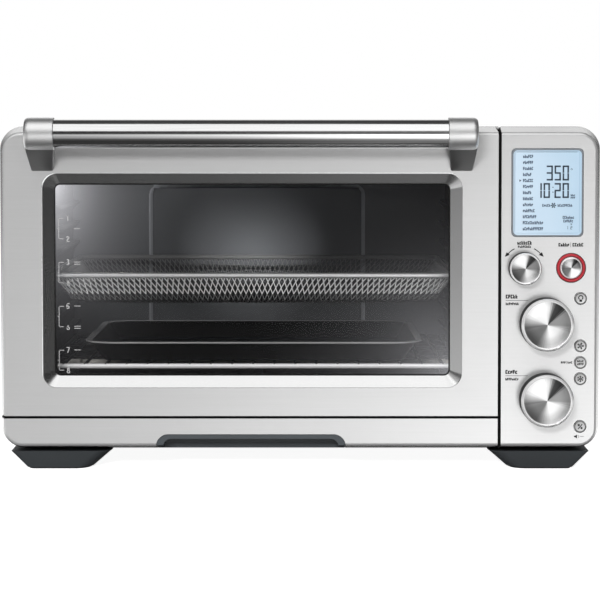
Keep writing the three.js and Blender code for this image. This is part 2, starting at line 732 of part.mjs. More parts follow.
function makeRack() {
  const z = rackLevel + wire + gap;
  const frame = [];
  for (const y of [rackFront, rackRear]) {
    frame.push(rod('x', wire, -trayHalf, trayHalf, [viewCentreX, y, z]));
  }
  for (const side of [-1, 1]) {
    const x = viewCentreX + side * (trayHalf - wire);
    frame.push(rod('y', wire, rackFront, rackRear, [x, 0, z]));
  }
  for (const x of grid(19, 19.6)) {
    frame.push(rod('y', 1.6, rackFront, rackRear, [viewCentreX + x, 0, z], 4));
  }
  addPart('wire_rack', union(frame), finish.chromeWire);
}

function tray(area, low, high, taper, wall, radius) {
  const shape = (grow) => roundedShape({ ...area, radius }, grow);
  const outer = loftZ([[shape(-taper - 3), low], [shape(-taper), low + 3], [shape(0), high]]);
  const inner = loftZ([
    [shape(-taper - 3 - wall), low + wall], [shape(-taper - wall), low + 3 + wall * 0.6],
    [shape(-wall), high], [shape(-wall), high + 2],
  ]);
  return outer.subtract(inner);
}

function rimRing(area, radius, out, inset, low, high) {
  const shape = (grow) => roundedShape({ ...area, radius }, grow);
  return extrudeZ(shape(out), low, high).subtract(extrudeZ(shape(-inset), low - 1, high + 1));
}

function makeBasket() {
  const level = basketLevel + gap;
  const area = {
    left: viewCentreX - trayHalf + railWidth, right: viewCentreX + trayHalf - railWidth,
    bottom: rackFront, top: rackRear - 2,
  };
  const low = level - basketDepth;
  const frontRod = rod('x', 2.6, -trayHalf, trayHalf, [viewCentreX, area.bottom, level + 2.6], 8);
  const pieces = [
    tray(area, low, level + 2, 10, 2, basketCorner),
    rimRing(area, basketCorner, 2.4, 2.4, level, level + 4.8),
    frontRod,
  ];
  // Side rails that ride on the ledges
  for (const side of [-1, 1]) {
    const ends = [side * (trayHalf - railWidth), side * trayHalf].sort((a, b) => a - b);
    const [x0, x1] = ends.map((x) => viewCentreX + x);
    pieces.push(box(x0, x1, area.bottom + 22, area.top - 22, level, level + 2));
  }
  let basket = union(pieces);
  const diamond = (halfX, halfY) => polygon([[-halfX, 0], [0, -halfY], [halfX, 0], [0, halfY]]);
  const floorCell = extrudeZ(diamond(31, 31), low - 2, low + 6);
  for (const x of grid(5, 68)) {
    for (const y of grid(3, 68)) {
      basket = basket.subtract(floorCell.translate([viewCentreX + x, 190 + y, 0]));
    }
  }
  const frontCell = extrudeY(diamond(21, 7.5), area.bottom - 8, area.bottom + 14);
  const toBack = area.top - area.bottom - 6;
  for (const x of grid(6, 54)) {
    const cell = frontCell.translate([viewCentreX + x, 0, level - 11]);
    basket = basket.subtract(cell).subtract(cell.translate([0, toBack, 0]));
  }
  addPart('air_fry_basket', basket, finish.chromeWire);
}

function makePan() {
  const low = rackLevel + 2 * wire + 2 * gap;
  const high = low + 19.4;
  const area = { left: viewCentreX - 153, right: viewCentreX + 153, bottom: 52, top: 278 };
  let pan = tray(area, low, high, 9, 1.8, 24);
  pan = pan.add(rimRing(area, 24, 6, 1.8, high - 1.6, high));
  addPart('roasting_pan', pan, finish.enamel);
}

// A finger grip let into the lower edge of the crumb tray's front
const gripArea = {
  left: -131.2, right: 41.6, bottom: bodyBottom - 8, top: 33.1, radius: [1, 1, 11, 11], facets: 5,
};
const gripRecess = {
  left: -124.6, right: 35, bottom: bodyBottom - 8, top: 28.7, radius: [1, 1, 7, 7], facets: 4,
};

function makeCrumbTray() {
  const flared = [true, false, true, false];
  const front = skin(stripArea, flared).subtract(extrudeY(roundedShape(gripArea), -2, fasciaDepth + 2));
  addPart('crumb_tray_front', front, finish.brushedSteel);

  const blank = extrudeY(roundedShape(gripArea, -gap), 0.8, fasciaDepth - 0.5);
  const grip = blank.intersect(skinBlank(stripArea, flared, 0))
    .subtract(extrudeY(roundedShape(gripRecess), -2, 21));
  addPart('crumb_tray_grip', grip, finish.darkPlastic);

  const area = { left: cavityLeft + 6, right: cavityRight - 6, bottom: fasciaDepth + 0.8, top: 372 };
  const crumb = tray(area, crumbLevel, 46, 3, 1.2, 5);
  const tongue = box(area.left + 20, area.right - 20, 6, fasciaDepth + 6, crumbLevel, crumbLevel + 1.4);
  addPart('crumb_tray', crumb.add(tongue), finish.galvanised);
}

// ---------------------------------------------------------------- control panel

const dials = [
  ['select_dial', selectSpot.x, selectSpot.z, smallDialRadius, 13],
  ['temp_dial', dialX, 134.4, bigDialRadius, 18],
  ['time_dial', dialX, 65.7, bigDialRadius, 18],
];
const buttons = [
  ['light_button', 157.1], ['convection_button', 113.9], ['phase_button', 98.7],
  ['frozen_button', 83.9], ['volume_button', 40.3],
];
const dialLift = 2.2;
const boardY = 16;

function makePanel() {
  let panel = skin(panelArea, [false, true, true, true]);
  panel = panel.subtract(extrudeY(roundedShape(lcd), -2, 6));
  for (const [, x, z] of dials) {
    panel = panel.subtract(cylinder(4.4, -2, 5, smallTurn, 'y', [x, 0, z]));
  }
  for (const [, z] of buttons) {
    panel = panel.subtract(cylinder(buttonRadius + 0.7, -2, 5, mediumTurn, 'y', [buttonX, 0, z]));
  }
  panel = panel.subtract(cylinder(13.6, -2, 5, largeTurn, 'y', [startSpot.x, 0, startSpot.z]));
  for (const [x, z] of [[194, 36], [236, 36], [194, 205], [258, 205]]) {
    panel = panel.add(box(x - 3, x + 3, 1, boardY - gap, z - 3, z + 3));
  }
  addPart('control_panel', panel, finish.brushedSteel);

  const trim = box(doorRight + 0.5, panelLeft - 0.5, 3, frameY - gap, bodyBottom + 3, bodyTop - 4);
  addPart('divider_trim', trim, finish.blackPlastic);

  const bezel = extrudeY(roundedShape(lcd, -gap), -0.5, 9)
    .subtract(extrudeY(roundedShape(lcd, -3.2), -1.5, 10));
  addPart('lcd_bezel', bezel, finish.blackPlastic);
  addPart('lcd_display', extrudeY(roundedShape(lcd, -3.6), 0.8, 4.8), finish.lcdBlue);

  const board = { left: 190.5, right: 262, bottom: 30, top: 300, radius: 2 };
  let circuit = extrudeY(roundedShape(board), boardY, boardY + sheet);
  circuit = circuit.add(box(196, 252.6, 5.2, boardY + 0.5, 217, 289));
  for (const [, x, z] of dials) {
    circuit = circuit.add(box(x - 7, x + 7, 9.6, boardY + 0.5, z - 7, z + 7));
  }
  for (const [, z] of buttons) circuit = circuit.add(tactSwitch(buttonX, z, 6.4));
  circuit = circuit.add(tactSwitch(startSpot.x, startSpot.z, 7.2));
  addPart('control_board', circuit, finish.board);
}

function tactSwitch(x, z, tip) {
  return box(x - 3, x + 3, tip + 2, boardY + 0.5, z - 3, z + 3)
    .add(cylinder(1.6, tip, tip + 3, 6, 'y', [x, 0, z]));
}

// A spun-metal dial: short skirt, bright bevel, shallow dished face and a pointer notch
function dial(x, z, radius, height) {
  const face = radius * 0.84;
  const front = -dialLift - height;
  const knob = lathe([
    [0, front + 1], [face, front], [face + 0.9, front + 0.2],
    [radius - 0.5, front + 3.2], [radius, front + 4.2], [radius, -dialLift], [0, -dialLift],
  ], largeTurn, 'y', [x, 0, z]);
  const angle = THREE.MathUtils.degToRad(-62);
  const notch = box(-0.9, 0.9, front - 1, front + 1.6, face - 5.5, face - 0.6);
  const turned = notch.rotate([0, 90 - THREE.MathUtils.radToDeg(angle), 0]);
  return knob.subtract(turned.translate([x, 0, z]));
}

function stem(x, z, length) {
  return cylinder(3, -dialLift - 1, length, 12, 'y', [x, 0, z]);
}

function makeControls() {
  for (const [name, x, z, radius, height] of dials) {
    if (name === 'select_dial') continue;
    addPart(name, dial(x, z, radius, height).add(stem(x, z, 9)), finish.polishedSteel);
  }
  // The select dial turns on a plunger that is pressed to confirm
  const { x, z } = selectSpot;
  const socket = cylinder(3.6, -11, 5, smallTurn, 'y', [x, 0, z]);
  addPart('select_dial', dial(x, z, smallDialRadius, 13).subtract(socket), finish.polishedSteel);
  const plunger = union([
    cylinder(3, -10.5, 6.8, smallTurn, 'y', [x, 0, z]),
    cylinder(6, 2, 4, smallTurn, 'y', [x, 0, z]),
  ]);
  addPart('select_plunger', plunger, finish.galvanised);

  for (const [name, height] of buttons) {
    const button = lathe([
      [0, -1.5], [buttonRadius - 0.8, -1.4], [buttonRadius, -0.7], [buttonRadius, 1.9],
      [buttonRadius + 1.1, 1.9], [buttonRadius + 1.1, 4.6], [0, 4.6],
    ], mediumTurn, 'y', [buttonX, 0, height]);
    addPart(name, button, finish.satinAluminium);
  }
  const place = [startSpot.x, 0, startSpot.z];
  const ring = lathe([
    [10.5, -1.8], [12, -2.2], [13, -1.4], [13, 4], [10.5, 4], [10.5, -1.8],
  ], largeTurn, 'y', place);
  addPart('start_stop_ring', ring, finish.redPlastic);
  const key = lathe([
    [0, -2.8], [7.8, -2.6], [9.4, -2], [10.1, -1], [10.1, 5.2], [0, 5.2],
  ], largeTurn, 'y', place);
  addPart('start_stop_button', key, finish.polishedSteel);
}

// ---------------------------------------------------------------- assembly

makeCabinet();
makeFrontFrame();
makeCavity();
makeFan();
makePanel();
makeControls();
makeDoor();
makeHandle();
makeCrumbTray();
makeRack();
makeBasket();
makePan();

const frontReach = -barReach - capRadius;
const rearReach = rearFace + 3;
group.position.y = -(frontReach + rearReach) / 2;

export default group;
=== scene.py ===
import json
import math
import random

import bmesh
import bpy
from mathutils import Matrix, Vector

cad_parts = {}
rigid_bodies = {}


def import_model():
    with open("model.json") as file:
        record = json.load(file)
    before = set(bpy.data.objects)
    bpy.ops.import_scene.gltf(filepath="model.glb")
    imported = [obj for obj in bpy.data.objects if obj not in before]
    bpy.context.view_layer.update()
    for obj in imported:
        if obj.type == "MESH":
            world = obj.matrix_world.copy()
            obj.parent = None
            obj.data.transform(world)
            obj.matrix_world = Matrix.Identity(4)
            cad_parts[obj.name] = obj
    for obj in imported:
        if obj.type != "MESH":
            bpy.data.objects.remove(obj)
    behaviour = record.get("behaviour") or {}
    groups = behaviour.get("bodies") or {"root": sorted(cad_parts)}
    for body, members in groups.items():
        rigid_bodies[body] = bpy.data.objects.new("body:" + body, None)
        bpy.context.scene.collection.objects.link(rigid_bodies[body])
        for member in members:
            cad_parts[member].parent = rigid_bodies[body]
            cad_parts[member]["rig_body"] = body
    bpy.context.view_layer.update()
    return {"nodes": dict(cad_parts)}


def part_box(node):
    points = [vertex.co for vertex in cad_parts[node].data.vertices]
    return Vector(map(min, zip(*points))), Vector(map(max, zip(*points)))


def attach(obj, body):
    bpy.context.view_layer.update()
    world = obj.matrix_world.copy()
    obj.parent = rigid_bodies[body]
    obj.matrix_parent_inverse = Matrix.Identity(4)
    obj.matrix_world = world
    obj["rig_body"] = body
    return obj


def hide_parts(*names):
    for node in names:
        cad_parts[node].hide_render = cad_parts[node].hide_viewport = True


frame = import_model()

# A countertop convection oven, dressed over its CAD nodes. While a piece is made, lengths are
# in millimetres, with y counted backwards from the flat front face. Once placed, in metres.

MM = 0.001
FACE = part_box("door_frame")[0].y
random.seed(7)


def link(made):
    bpy.context.scene.collection.objects.link(made)
    return made


# -------- camera

LENS, SENSOR, SHIFT = 132.45, 36, -0.13
PITCH = 2.443
EYE = (0.0, FACE - 2.0, 0.3119)


def make_camera():
    data = bpy.data.cameras.new("camera")
    data.lens, data.sensor_width, data.shift_y, data.clip_end = LENS, SENSOR, SHIFT, 60
    camera = link(bpy.data.objects.new("camera", data))
    camera.location = EYE
    camera.rotation_euler = (math.radians(90 - PITCH), 0, 0)
    bpy.context.scene.camera = camera


# -------- material nodes


class Nodes:
    """Short ways to fill a shader tree. An input takes a constant or another node's output."""

    def __init__(self, tree):
        self.tree = tree

    def plug(self, node, key, value):
        if isinstance(value, bpy.types.NodeSocket):
            self.tree.links.new(value, node.inputs[key])
        else:
            node.inputs[key].default_value = value

    def node(self, kind, *values, **named):
        """Values go to the first inputs, capitalised names to inputs, other names to settings."""
        made = self.tree.nodes.new(kind if "Node" in kind else "ShaderNode" + kind)
        for key in [key for key in named if key[0].islower()]:
            setattr(made, key, named.pop(key))
        for key, value in [*enumerate(values), *named.items()]:
            self.plug(made, key, value)
        return made

    def maths(self, operation, a, b=0.0):
        return self.node("Math", a, b, operation=operation).outputs[0]

    def weighted(self, *shares):
        """The sum of every value times its share."""
        total = 0.0
        for value, share in shares:
            total = self.maths("ADD", total, self.maths("MULTIPLY", value, share))
        return total

    def vector(self, operation, *values):
        output = "Value" if operation in ("LENGTH", "DOT_PRODUCT") else "Vector"
        return self.node("VectorMath", *values, operation=operation).outputs[output]

    def between(self, value, low, high, start=0.3, end=0.7, how="LINEAR"):
        """Runs from low to high while the value runs from start to end."""
        made = self.node("MapRange", value, start, end, low, high, interpolation_type=how)
        return made.outputs[0]

    def smooth(self, value, start, end, high=1.0):
        return self.between(value, 0.0, high, start, end, "SMOOTHSTEP")

    def degrees(self, operation, *values):
        return self.maths("MULTIPLY", self.maths(operation, *values), 180 / math.pi)

    def seen(self, coordinates):
        return self.node("TexCoord").outputs[coordinates]

    def noise(self, scale, detail=3.0, stretch=(1, 1, 1)):
        place = self.node("Mapping", self.seen("Object"), Scale=stretch).outputs[0]
        return self.node("TexNoise", Vector=place, Scale=scale, Detail=detail).outputs["Fac"]

    def ripple(self, along, scale):
        made = self.node("TexNoise", noise_dimensions="1D", W=along, Scale=scale, Detail=3.0)
        return made.outputs["Fac"]

    def blend(self, factor, dark, light):
        node = self.node("Mix", factor, data_type="RGBA")
        # Inputs 6 and 7 are the colour pair
        self.plug(node, 6, dark)
        self.plug(node, 7, light)
        return node.outputs[2]

    def curve(self, value, stops):
        """A brightness that runs through (value, brightness) stops."""
        low, high = stops[0][0], stops[-1][0]
        ramp = self.node("ValToRGB", self.between(value, 0.0, 1.0, low, high))
        points, top = ramp.color_ramp.elements, max(light for _, light in stops)
        while len(points) > 1:
            points.remove(points[-1])
        for i, (angle, light) in enumerate(stops):
            spot = (angle - low) / (high - low)
            point = points[0] if i == 0 else points.new(spot)
            point.position, point.color = spot, grey(light / top)
        return self.maths("MULTIPLY", ramp.outputs[0], top)


class Finish(Nodes):
    """A procedural material: the shader's own sockets, and nodes that vary colour and relief."""

    def __init__(self, name, **sockets):
        self.material = bpy.data.materials.new(name)
        self.material.use_nodes = True
        super().__init__(self.material.node_tree)
        self.shader = self.tree.nodes["Principled BSDF"]
        self.set(**sockets)

    def set(self, **sockets):
        for socket, value in sockets.items():
            self.plug(self.shader, socket.replace("_", " "), value)

    def relief(self, height, strength, distance):
        bump = self.node("Bump", Height=height, Strength=strength, Distance=distance)
        self.set(Normal=bump.outputs[0])

    def tangent(self, axis):
        self.set(Tangent=self.node("Tangent", direction_type="RADIAL", axis=axis).outputs[0])


def grey(value, tint=(1.0, 1.0, 1.0)):
    return tuple(value * t for t in tint) + (1.0,)


def brushed(name, dark, light, rough, stretch, anisotropy, metal):
    """Metal brushed along x, with fine lines over coarser streaks."""
    made = Finish(name, Metallic=metal, Anisotropic=anisotropy, Anisotropic_Rotation=0.25)
    fine = made.noise(22, 2.0, (1, stretch, stretch))
    streak = made.noise(7, 3.0, (1, stretch * 0.45, stretch * 0.45))
    mixed = made.weighted((fine, 0.65), (streak, 0.35))
    cloud = made.between(made.noise(5, 2.0), rough - 0.02, rough + 0.02)
    shade = made.between(mixed, 0.0, 1.0, 0.25, 0.75)
    made.set(Base_Color=made.blend(shade, grey(dark), grey(light)))
    made.set(Roughness=made.maths("ADD", made.between(streak, -0.01, 0.01), cloud))
    made.relief(mixed, 0.03, 0.00003)
    made.tangent("Z")
    return made.material


# Painted reflection: brightness painted round a turned face, in degrees from its right
PAINTED_SUNBURST_REFLECTION = ((0, 0.4), (36, 0.42), (47, 0.05), (70, 0.08), (84, 0.65), (100, 0.86), (150, 0.86),
            (168, 0.5), (187, 0.2), (192, 0.28), (205, 0.25), (240, 0.26), (262, 0.65), (280, 0.98),
            (340, 1.0), (360, 0.4))


def spun(name, rough):
    """Turned metal: fine rings round the middle, and light and dark sectors painted into its colour
    as a painted reflection.
    """
    made = Finish(name, Metallic=1.0, Anisotropic=0.8, Anisotropic_Rotation=0.25)
    centred = made.vector("SUBTRACT", made.seen("Generated"), (0.5, 0.0, 0.5))
    flat = made.vector("MULTIPLY", centred, (1, 0, 1))
    x, _, z = made.node("SeparateXYZ", flat).outputs
    turn = made.maths("MODULO", made.maths("ADD", made.degrees("ARCTAN2", z, x), 360.0), 360.0)
    wander = made.maths("MULTIPLY", made.maths("SUBTRACT", made.ripple(turn, 0.35), 0.5), 14.0)
    # Painted reflection: a fan of light and dark sectors in the base colour
    sectors = made.curve(made.maths("ADD", turn, wander), PAINTED_SUNBURST_REFLECTION)
    rings = made.ripple(made.vector("LENGTH", flat), 90.0)
    shade = made.maths("MULTIPLY", sectors, made.between(rings, 0.92, 1.0))
    made.set(Base_Color=made.blend(shade, grey(0.0), grey(1.0)))
    made.set(Roughness=made.between(rings, rough - 0.03, rough + 0.04))
    made.relief(rings, 0.15, 0.00003)
    made.tangent("Y")
    return made.material


def coated(name, dark, light, rough, metal, grain, bump, spread=0.05, specular=0.5):
    """Paint, plastic, enamel or plain metal with a fine grain and cloudy wear."""
    made = Finish(name, Metallic=metal, Specular_IOR_Level=specular)
    fine, cloud = made.noise(grain, 4.0), made.noise(9, 4.0)
    mixed = made.weighted((fine, 0.4), (cloud, 0.6))
    dark, light = (grey(c) if isinstance(c, float) else c for c in (dark, light))
    made.set(Base_Color=made.blend(made.between(mixed, 0.0, 1.0), dark, light))
    made.set(Roughness=made.between(cloud, rough - spread, rough + spread))
    made.relief(fine, bump, 0.0002)
    return made.material


def clear_glass(name, painted_glow_strength=0.0):
    """A pane: see-through, a thin mirror that strengthens at its edges, and corners that glow with
    a painted reflection.
    """
    made = Finish(name, Roughness=0.02, Base_Color=grey(0.94, (1, 1, 1.02)), Metallic=1.0)
    facing = made.node("LayerWeight", Blend=0.25).outputs["Facing"]
    smear = made.between(made.noise(14), 0.0, 0.0008)
    mirror = made.maths("ADD", made.between(facing, 0.0008, 0.3, 0.0, 1.0), smear)
    made.set(Alpha=mirror)
    if painted_glow_strength:
        # Painted reflection: the corners glow by emission, whatever light falls on them
        made.set(Emission_Color=grey(1.0, (0.97, 0.97, 1.02)))
        made.set(Emission_Strength=made.maths("DIVIDE", painted_corner_glow(made, painted_glow_strength), mirror))
        made.material.cycles.emission_sampling = "NONE"
    return made.material


def painted_corner_glow(made, amount):
    """Painted reflection: an emitted glow that thins out from the pane's upper left corner, and a
    little from its lower right.
    """
    wide, high = GLASS[0][1] - GLASS[0][0], GLASS[2][1] - GLASS[2][0]
    edge_x, edge_z = PANE_GROW / wide, PANE_GROW / high
    corners = (
        # Place on the pane, height against width of the patch, its reach, strength
        ((edge_x, 0.0, 1 - edge_z), 0.6, 24.0, amount),
        ((1 - edge_x, 0.0, edge_z), 0.8, 40.0, amount * 0.34),
    )
    generated, patches = made.seen("Generated"), []
    for corner, flatten, reach, strength in corners:
        away = made.vector("SUBTRACT", generated, corner)
        away = made.vector("LENGTH", made.vector("MULTIPLY", away, (wide, 0.0, high * flatten)))
        thin = made.maths("EXPONENT", made.maths("MULTIPLY", away, -1 / reach))
        patches.append((thin, strength))
    return made.weighted(*patches)


def display():
    """A back-lit blue panel, with a painted sheen that makes it a little brighter along its left
    side.
    """
    made = Finish("display", Roughness=0.25, Emission_Strength=0.45)
    across = made.node("SeparateXYZ", made.seen("Generated")).outputs[0]
    cloud = made.between(made.noise(30, 2.0), 0.0, 0.2)
    # Painted sheen: lighter towards the left side
    lit = made.maths("ADD", made.between(across, 0.0, 0.8, 0.0, 1.0), cloud)
    colour = made.blend(lit, (0.385, 0.465, 0.54, 1), (0.29, 0.395, 0.485, 1))
    made.set(Base_Color=colour, Emission_Color=colour)
    return made.material


COOL, SLATE, BLUE = (0.97, 1, 1.06), (0.9, 1, 1.08), (0.88, 1, 1.1)
INKY = (0.9, 1, 1.12)
COATED = {
    # Dark and light colour, roughness, metal, grain, relief, spread of roughness, specular level.
    # A roughness range that crosses 0.27 speckles, so each keeps to one side of it.
    "edge_steel": (0.77, 0.8, 0.22, 0.97, 500, 0.0005, 0.01),
    "satin_aluminium": (0.93, 0.98, 0.42, 0.95, 900, 0.004),
    # A darker copy of the satin aluminium: painted shade on the handle arms
    "painted_shade_aluminium": (0.27, 0.32, 0.4, 0.96, 900, 0.06),
    "dial_edge": (0.84, 0.92, 0.22, 0.45, 500, 0.004),
    "button_metal": (0.66, 0.74, 0.42, 0.7, 900, 0.06),
    # Near black: the frame's dark coat, darkened further as painted shade seen through the seams
    "painted_steel": (0.004, 0.008, 0.6, 0.0, 700, 0.1, 0.05, 0.15),
    "galvanised_steel": (0.42, 0.5, 0.4, 0.8, 60, 0.03),
    "cavity_coating": (grey(0.058, COOL), grey(0.068, COOL), 0.45, 0.2, 1400, 0.004, 0.05, 0.3),
    # A lighter copy of the cavity coating: a painted highlight on the pocket's edge bends
    "painted_highlight_coating": (grey(0.2, COOL), grey(0.24, COOL), 0.4, 0.2, 1400, 0.004),
    "side_coating": (0.035, 0.04, 0.6, 0.0, 1400, 0.004, 0.05, 0.1),
    "quartz": (grey(0.5, (1, 0.96, 0.9)), grey(0.62, (1, 0.97, 0.92)), 0.34, 0.0, 300, 0.05),
    "enamel": (0.001, 0.003, 0.4, 0.0, 900, 0.01, 0.04, 0.08),
    # A lighter copy of the enamel: a painted highlight on the pan's rim
    "painted_highlight_enamel": (0.26, 0.32, 0.22, 0.3, 900, 0.005, 0.04),
    "chrome_wire": (0.66, 0.78, 0.34, 0.85, 600, 0.01),
    "basket_wire": (0.84, 0.92, 0.36, 0.7, 600, 0.01),
    "rack_wire": (0.86, 0.93, 0.34, 0.4, 600, 0.01),
    # Darker copies of the wire as painted shade: grey for the back, near black for the floor and
    # the rack's rear wires
    "painted_shade_far_wire": (0.16, 0.22, 0.4, 0.7, 600, 0.04),
    "painted_shade_dim_wire": (0.03, 0.05, 0.5, 0.5, 600, 0.04),
    "skirt": (0.004, 0.008, 0.5, 0.0, 900, 0.05, 0.05, 0.2),
    # Near black: the pane's gasket, and painted shade on the skins' folds inside a seam
    "seal_and_painted_seam_shade": (0.004, 0.008, 0.6, 0.0, 900, 0.1, 0.05, 0.2),
    "dark_plastic": (grey(0.036, SLATE), grey(0.05, SLATE), 0.46, 0.0, 1500, 0.3),
    "grip_plastic": (grey(0.055, BLUE), grey(0.072, BLUE), 0.42, 0.0, 1500, 0.3),
    "black_plastic": (0.002, 0.004, 0.55, 0.0, 1500, 0.2, 0.05, 0.2),
    "bezel": (grey(0.16, INKY), grey(0.2, INKY), 0.34, 0.0, 900, 0.1),
    "red_ring": ((0.36, 0.02, 0.03, 1), (0.44, 0.028, 0.04, 1), 0.34, 0.0, 700, 0.01),
    "circuit_board": ((0.01, 0.07, 0.03, 1), (0.02, 0.11, 0.05, 1), 0.5, 0.0, 300, 0.1),
    "rubber": (0.02, 0.03, 0.75, 0.0, 1200, 0.35),
    "ink": (0.002, 0.005, 0.5, 0.0, 900, 0.05, 0.05, 0.2),
    "lcd_ink": ((0.018, 0.03, 0.05, 1), (0.025, 0.04, 0.06, 1), 0.4, 0.0, 900, 0.02),
    "lcd_text": ((0.05, 0.08, 0.12, 1), (0.07, 0.1, 0.15, 1), 0.4, 0.0, 900, 0.02),
    "glass_print": (0.36, 0.44, 0.5, 0.0, 900, 0.05),
}


def make_finishes():
    made = {name: coated(name, *row) for name, row in COATED.items()}
    made["brushed_steel"] = brushed("brushed_steel", 0.615, 0.655, 0.24, 130, 0.4, 0.55)
    made["polished_aluminium"] = brushed("polished_aluminium", 0.74, 0.86, 0.13, 60, 0.3, 1.0)
    made["spun_aluminium"] = spun("spun_aluminium", 0.32)
    made["clear_glass"] = clear_glass("clear_glass")
    # The door's outer pane gets corners with a painted reflection glow
    made["door_glass"] = clear_glass("door_glass", 0.36)
    made["display"] = display()
    return made


# -------- measures and outlines


def span(node):
    """A CAD node's box, ((x0, x1), (y0, y1), (z0, z1)), with y counted from the front face."""
    low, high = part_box(node)
    return [((low[i] - start) / MM, (high[i] - start) / MM) for i, start in enumerate((0, FACE, 0))]


def middle(node):
    return [(a + b) / 2 for a, b in span(node)]


def round_part(node):
    """A round node's centre (x, z), radius, front and back."""
    (x0, x1), (front, back), _ = span(node)
    x, _, z = middle(node)
    return (x, z), (x1 - x0) / 2, front, back


def area_of(node, radii):
    (x0, x1), _, (z0, z1) = span(node)
    return (x0, x1, z0, z1, radii)


def outline(area, grow=0.0, shrink=(0.0, 0.0, 0.0, 0.0), steps=8):
    """A rectangle with rounded corners, anticlockwise from the bottom left."""
    x0, x1, z0, z1, radii = area
    x0, x1 = x0 - grow + shrink[0], x1 + grow - shrink[1]
    z0, z1 = z0 - grow + shrink[2], z1 + grow - shrink[3]
    corners = ((x0, z0, 1, 1), (x1, z0, -1, 1), (x1, z1, -1, -1), (x0, z1, 1, -1))
    points = []
    for i, (x, z, to_x, to_z) in enumerate(corners):
        radius = radii[i] if isinstance(radii, tuple) else radii
        r = max(radius + grow - max(shrink), 0.4)
        for step in range(steps + 1):
            angle = (i + 2 + step / steps) * math.pi / 2
            points.append((x + to_x * r + r * math.cos(angle), z + to_z * r + r * math.sin(angle)))
    return points


def upright(points, y):
    return [(a, y, b) for a, b in points]


def level(points, z):
    return [(a, b, z) for a, b in points]


def uprights(*rows):
    """Rings from rows of area, growth and depth."""
    return [upright(outline(area, grow), y) for area, grow, y in rows]


def sweep(a, b, c, steps):
    """A curve from a to c that first heads for b."""
    a, b, c = Vector(a), Vector(b), Vector(c)
    shares = [step / steps for step in range(steps + 1)]
    return [tuple(a * (1 - t) ** 2 + b * 2 * t * (1 - t) + c * t * t) for t in shares]


def rounded(points, steps=4):
    """A profile of (a, b) or (a, b, radius) with its stated corners rounded."""
    made = []
    for i, point in enumerate(points):
        if len(point) == 2 or i in (0, len(points) - 1):
            made.append(tuple(point[:2]))
            continue
        corner, r = Vector(point[:2]), point[2]
        before, after = Vector(points[i - 1][:2]) - corner, Vector(points[i + 1][:2]) - corner
        start = corner + before.normalized() * min(r, before.length * 0.48)
        end = corner + after.normalized() * min(r, after.length * 0.48)
        made += sweep(start, corner, end, steps)
    return made


def polar(centre, radius, angle):
    return (centre[0] + radius * math.cos(angle), centre[1] + radius * math.sin(angle))


def arc(centre, radius, start, end, steps):
    turns = [math.radians(start + (end - start) * i / steps) for i in range(steps + 1)]
    return [polar(centre, radius, turn) for turn in turns]


def disc(centre, radius, sides=18):
    return arc(centre, radius, 0, 360 - 360 / sides, sides - 1)


# -------- shapes and pieces


class Shape:
    """Points and faces in millimetres; a face's mark chooses its material."""

    def __init__(self):
        self.points, self.faces, self.marks = [], [], []

    def add(self, points, faces, mark=0):
        base = len(self.points)
        self.points += points
        self.faces += [[base + i for i in face] for face in faces]
        self.marks += [mark] * len(faces)
        return self

    def loft(self, rings, closed=False, caps=True, mark=0):
        count, faces = len(rings[0]), []
        pairs = len(rings) if closed else len(rings) - 1
        for i in range(pairs):
            a, b = i * count, ((i + 1) % len(rings)) * count
            sides = [(j, (j + 1) % count) for j in range(count)]
            faces += [[a + j, a + k, b + k, b + j] for j, k in sides]
        if caps and not closed:
            faces += [list(range(count)), [(len(rings) - 1) * count + j for j in range(count)]]
        return self.add([p for ring in rings for p in ring], faces, mark)

    def prism(self, points, low, high):
        """An (x, z) polygon between two depths."""
        return self.loft([upright(points, low), upright(points, high)])

    def block(self, x, y, z):
        return self.prism(bar(*x, *z), *y)

    def lathe(self, profile, place, axis="y", steps=72, mark=0):
        """A profile of (radius, height) turned round an axis; a closed profile makes a ring."""
        rings = []
        for r, h in profile:
            ring = []
            for i in range(steps):
                a = 2 * math.pi * i / steps
                u, v = r * math.cos(a), r * math.sin(a)
                local = (h, u, v) if axis == "x" else (u, h, v)
                ring.append(tuple(p + q for p, q in zip(place, local)))
            rings.append(ring)
        closed = profile[0] == profile[-1]
        return self.loft(rings[:-1] if closed else rings, closed=closed, caps=False, mark=mark)

    def tube(self, path, radius, sides=10, cyclic=False, mark=0):
        """A round wire along a path of points."""
        path = [Vector(p) for p in path]
        count, rings = len(path), []
        side = None
        for i, point in enumerate(path):
            before = path[i - 1] if i or cyclic else point
            after = path[(i + 1) % count] if i < count - 1 or cyclic else point
            along = (after - before).normalized()
            if side is None:
                side = along.cross((0, 0, 1)) if abs(along.z) < 0.9 else along.cross((0, 1, 0))
            side = (side - along * side.dot(along)).normalized()
            over = along.cross(side)
            turns = [2 * math.pi * k / sides for k in range(sides)]
            rings.append(
                [tuple(point + (side * math.cos(t) + over * math.sin(t)) * radius) for t in turns])
        return self.loft(rings, closed=cyclic, mark=mark)

    def remark(self, mark, test):
        """Gives a mark to each face whose points all pass a test."""
        for i, face in enumerate(self.faces):
            if all(test(*self.points[k]) for k in face):
                self.marks[i] = mark
        return self

    def object(self, name):
        data = bpy.data.meshes.new(name)
        points = [(x * MM, FACE + y * MM, z * MM) for x, y, z in self.points]
        data.from_pydata(points, [], self.faces)
        for polygon, mark in zip(data.polygons, self.marks):
            polygon.material_index = mark
        shape = bmesh.new()
        shape.from_mesh(data)
        bmesh.ops.remove_doubles(shape, verts=shape.verts, dist=2e-6)
        bmesh.ops.dissolve_degenerate(shape, edges=shape.edges, dist=1e-6)
        bmesh.ops.recalc_face_normals(shape, faces=shape.faces)
        shape.to_mesh(data)
        shape.free()
        return link(bpy.data.objects.new(name, data))


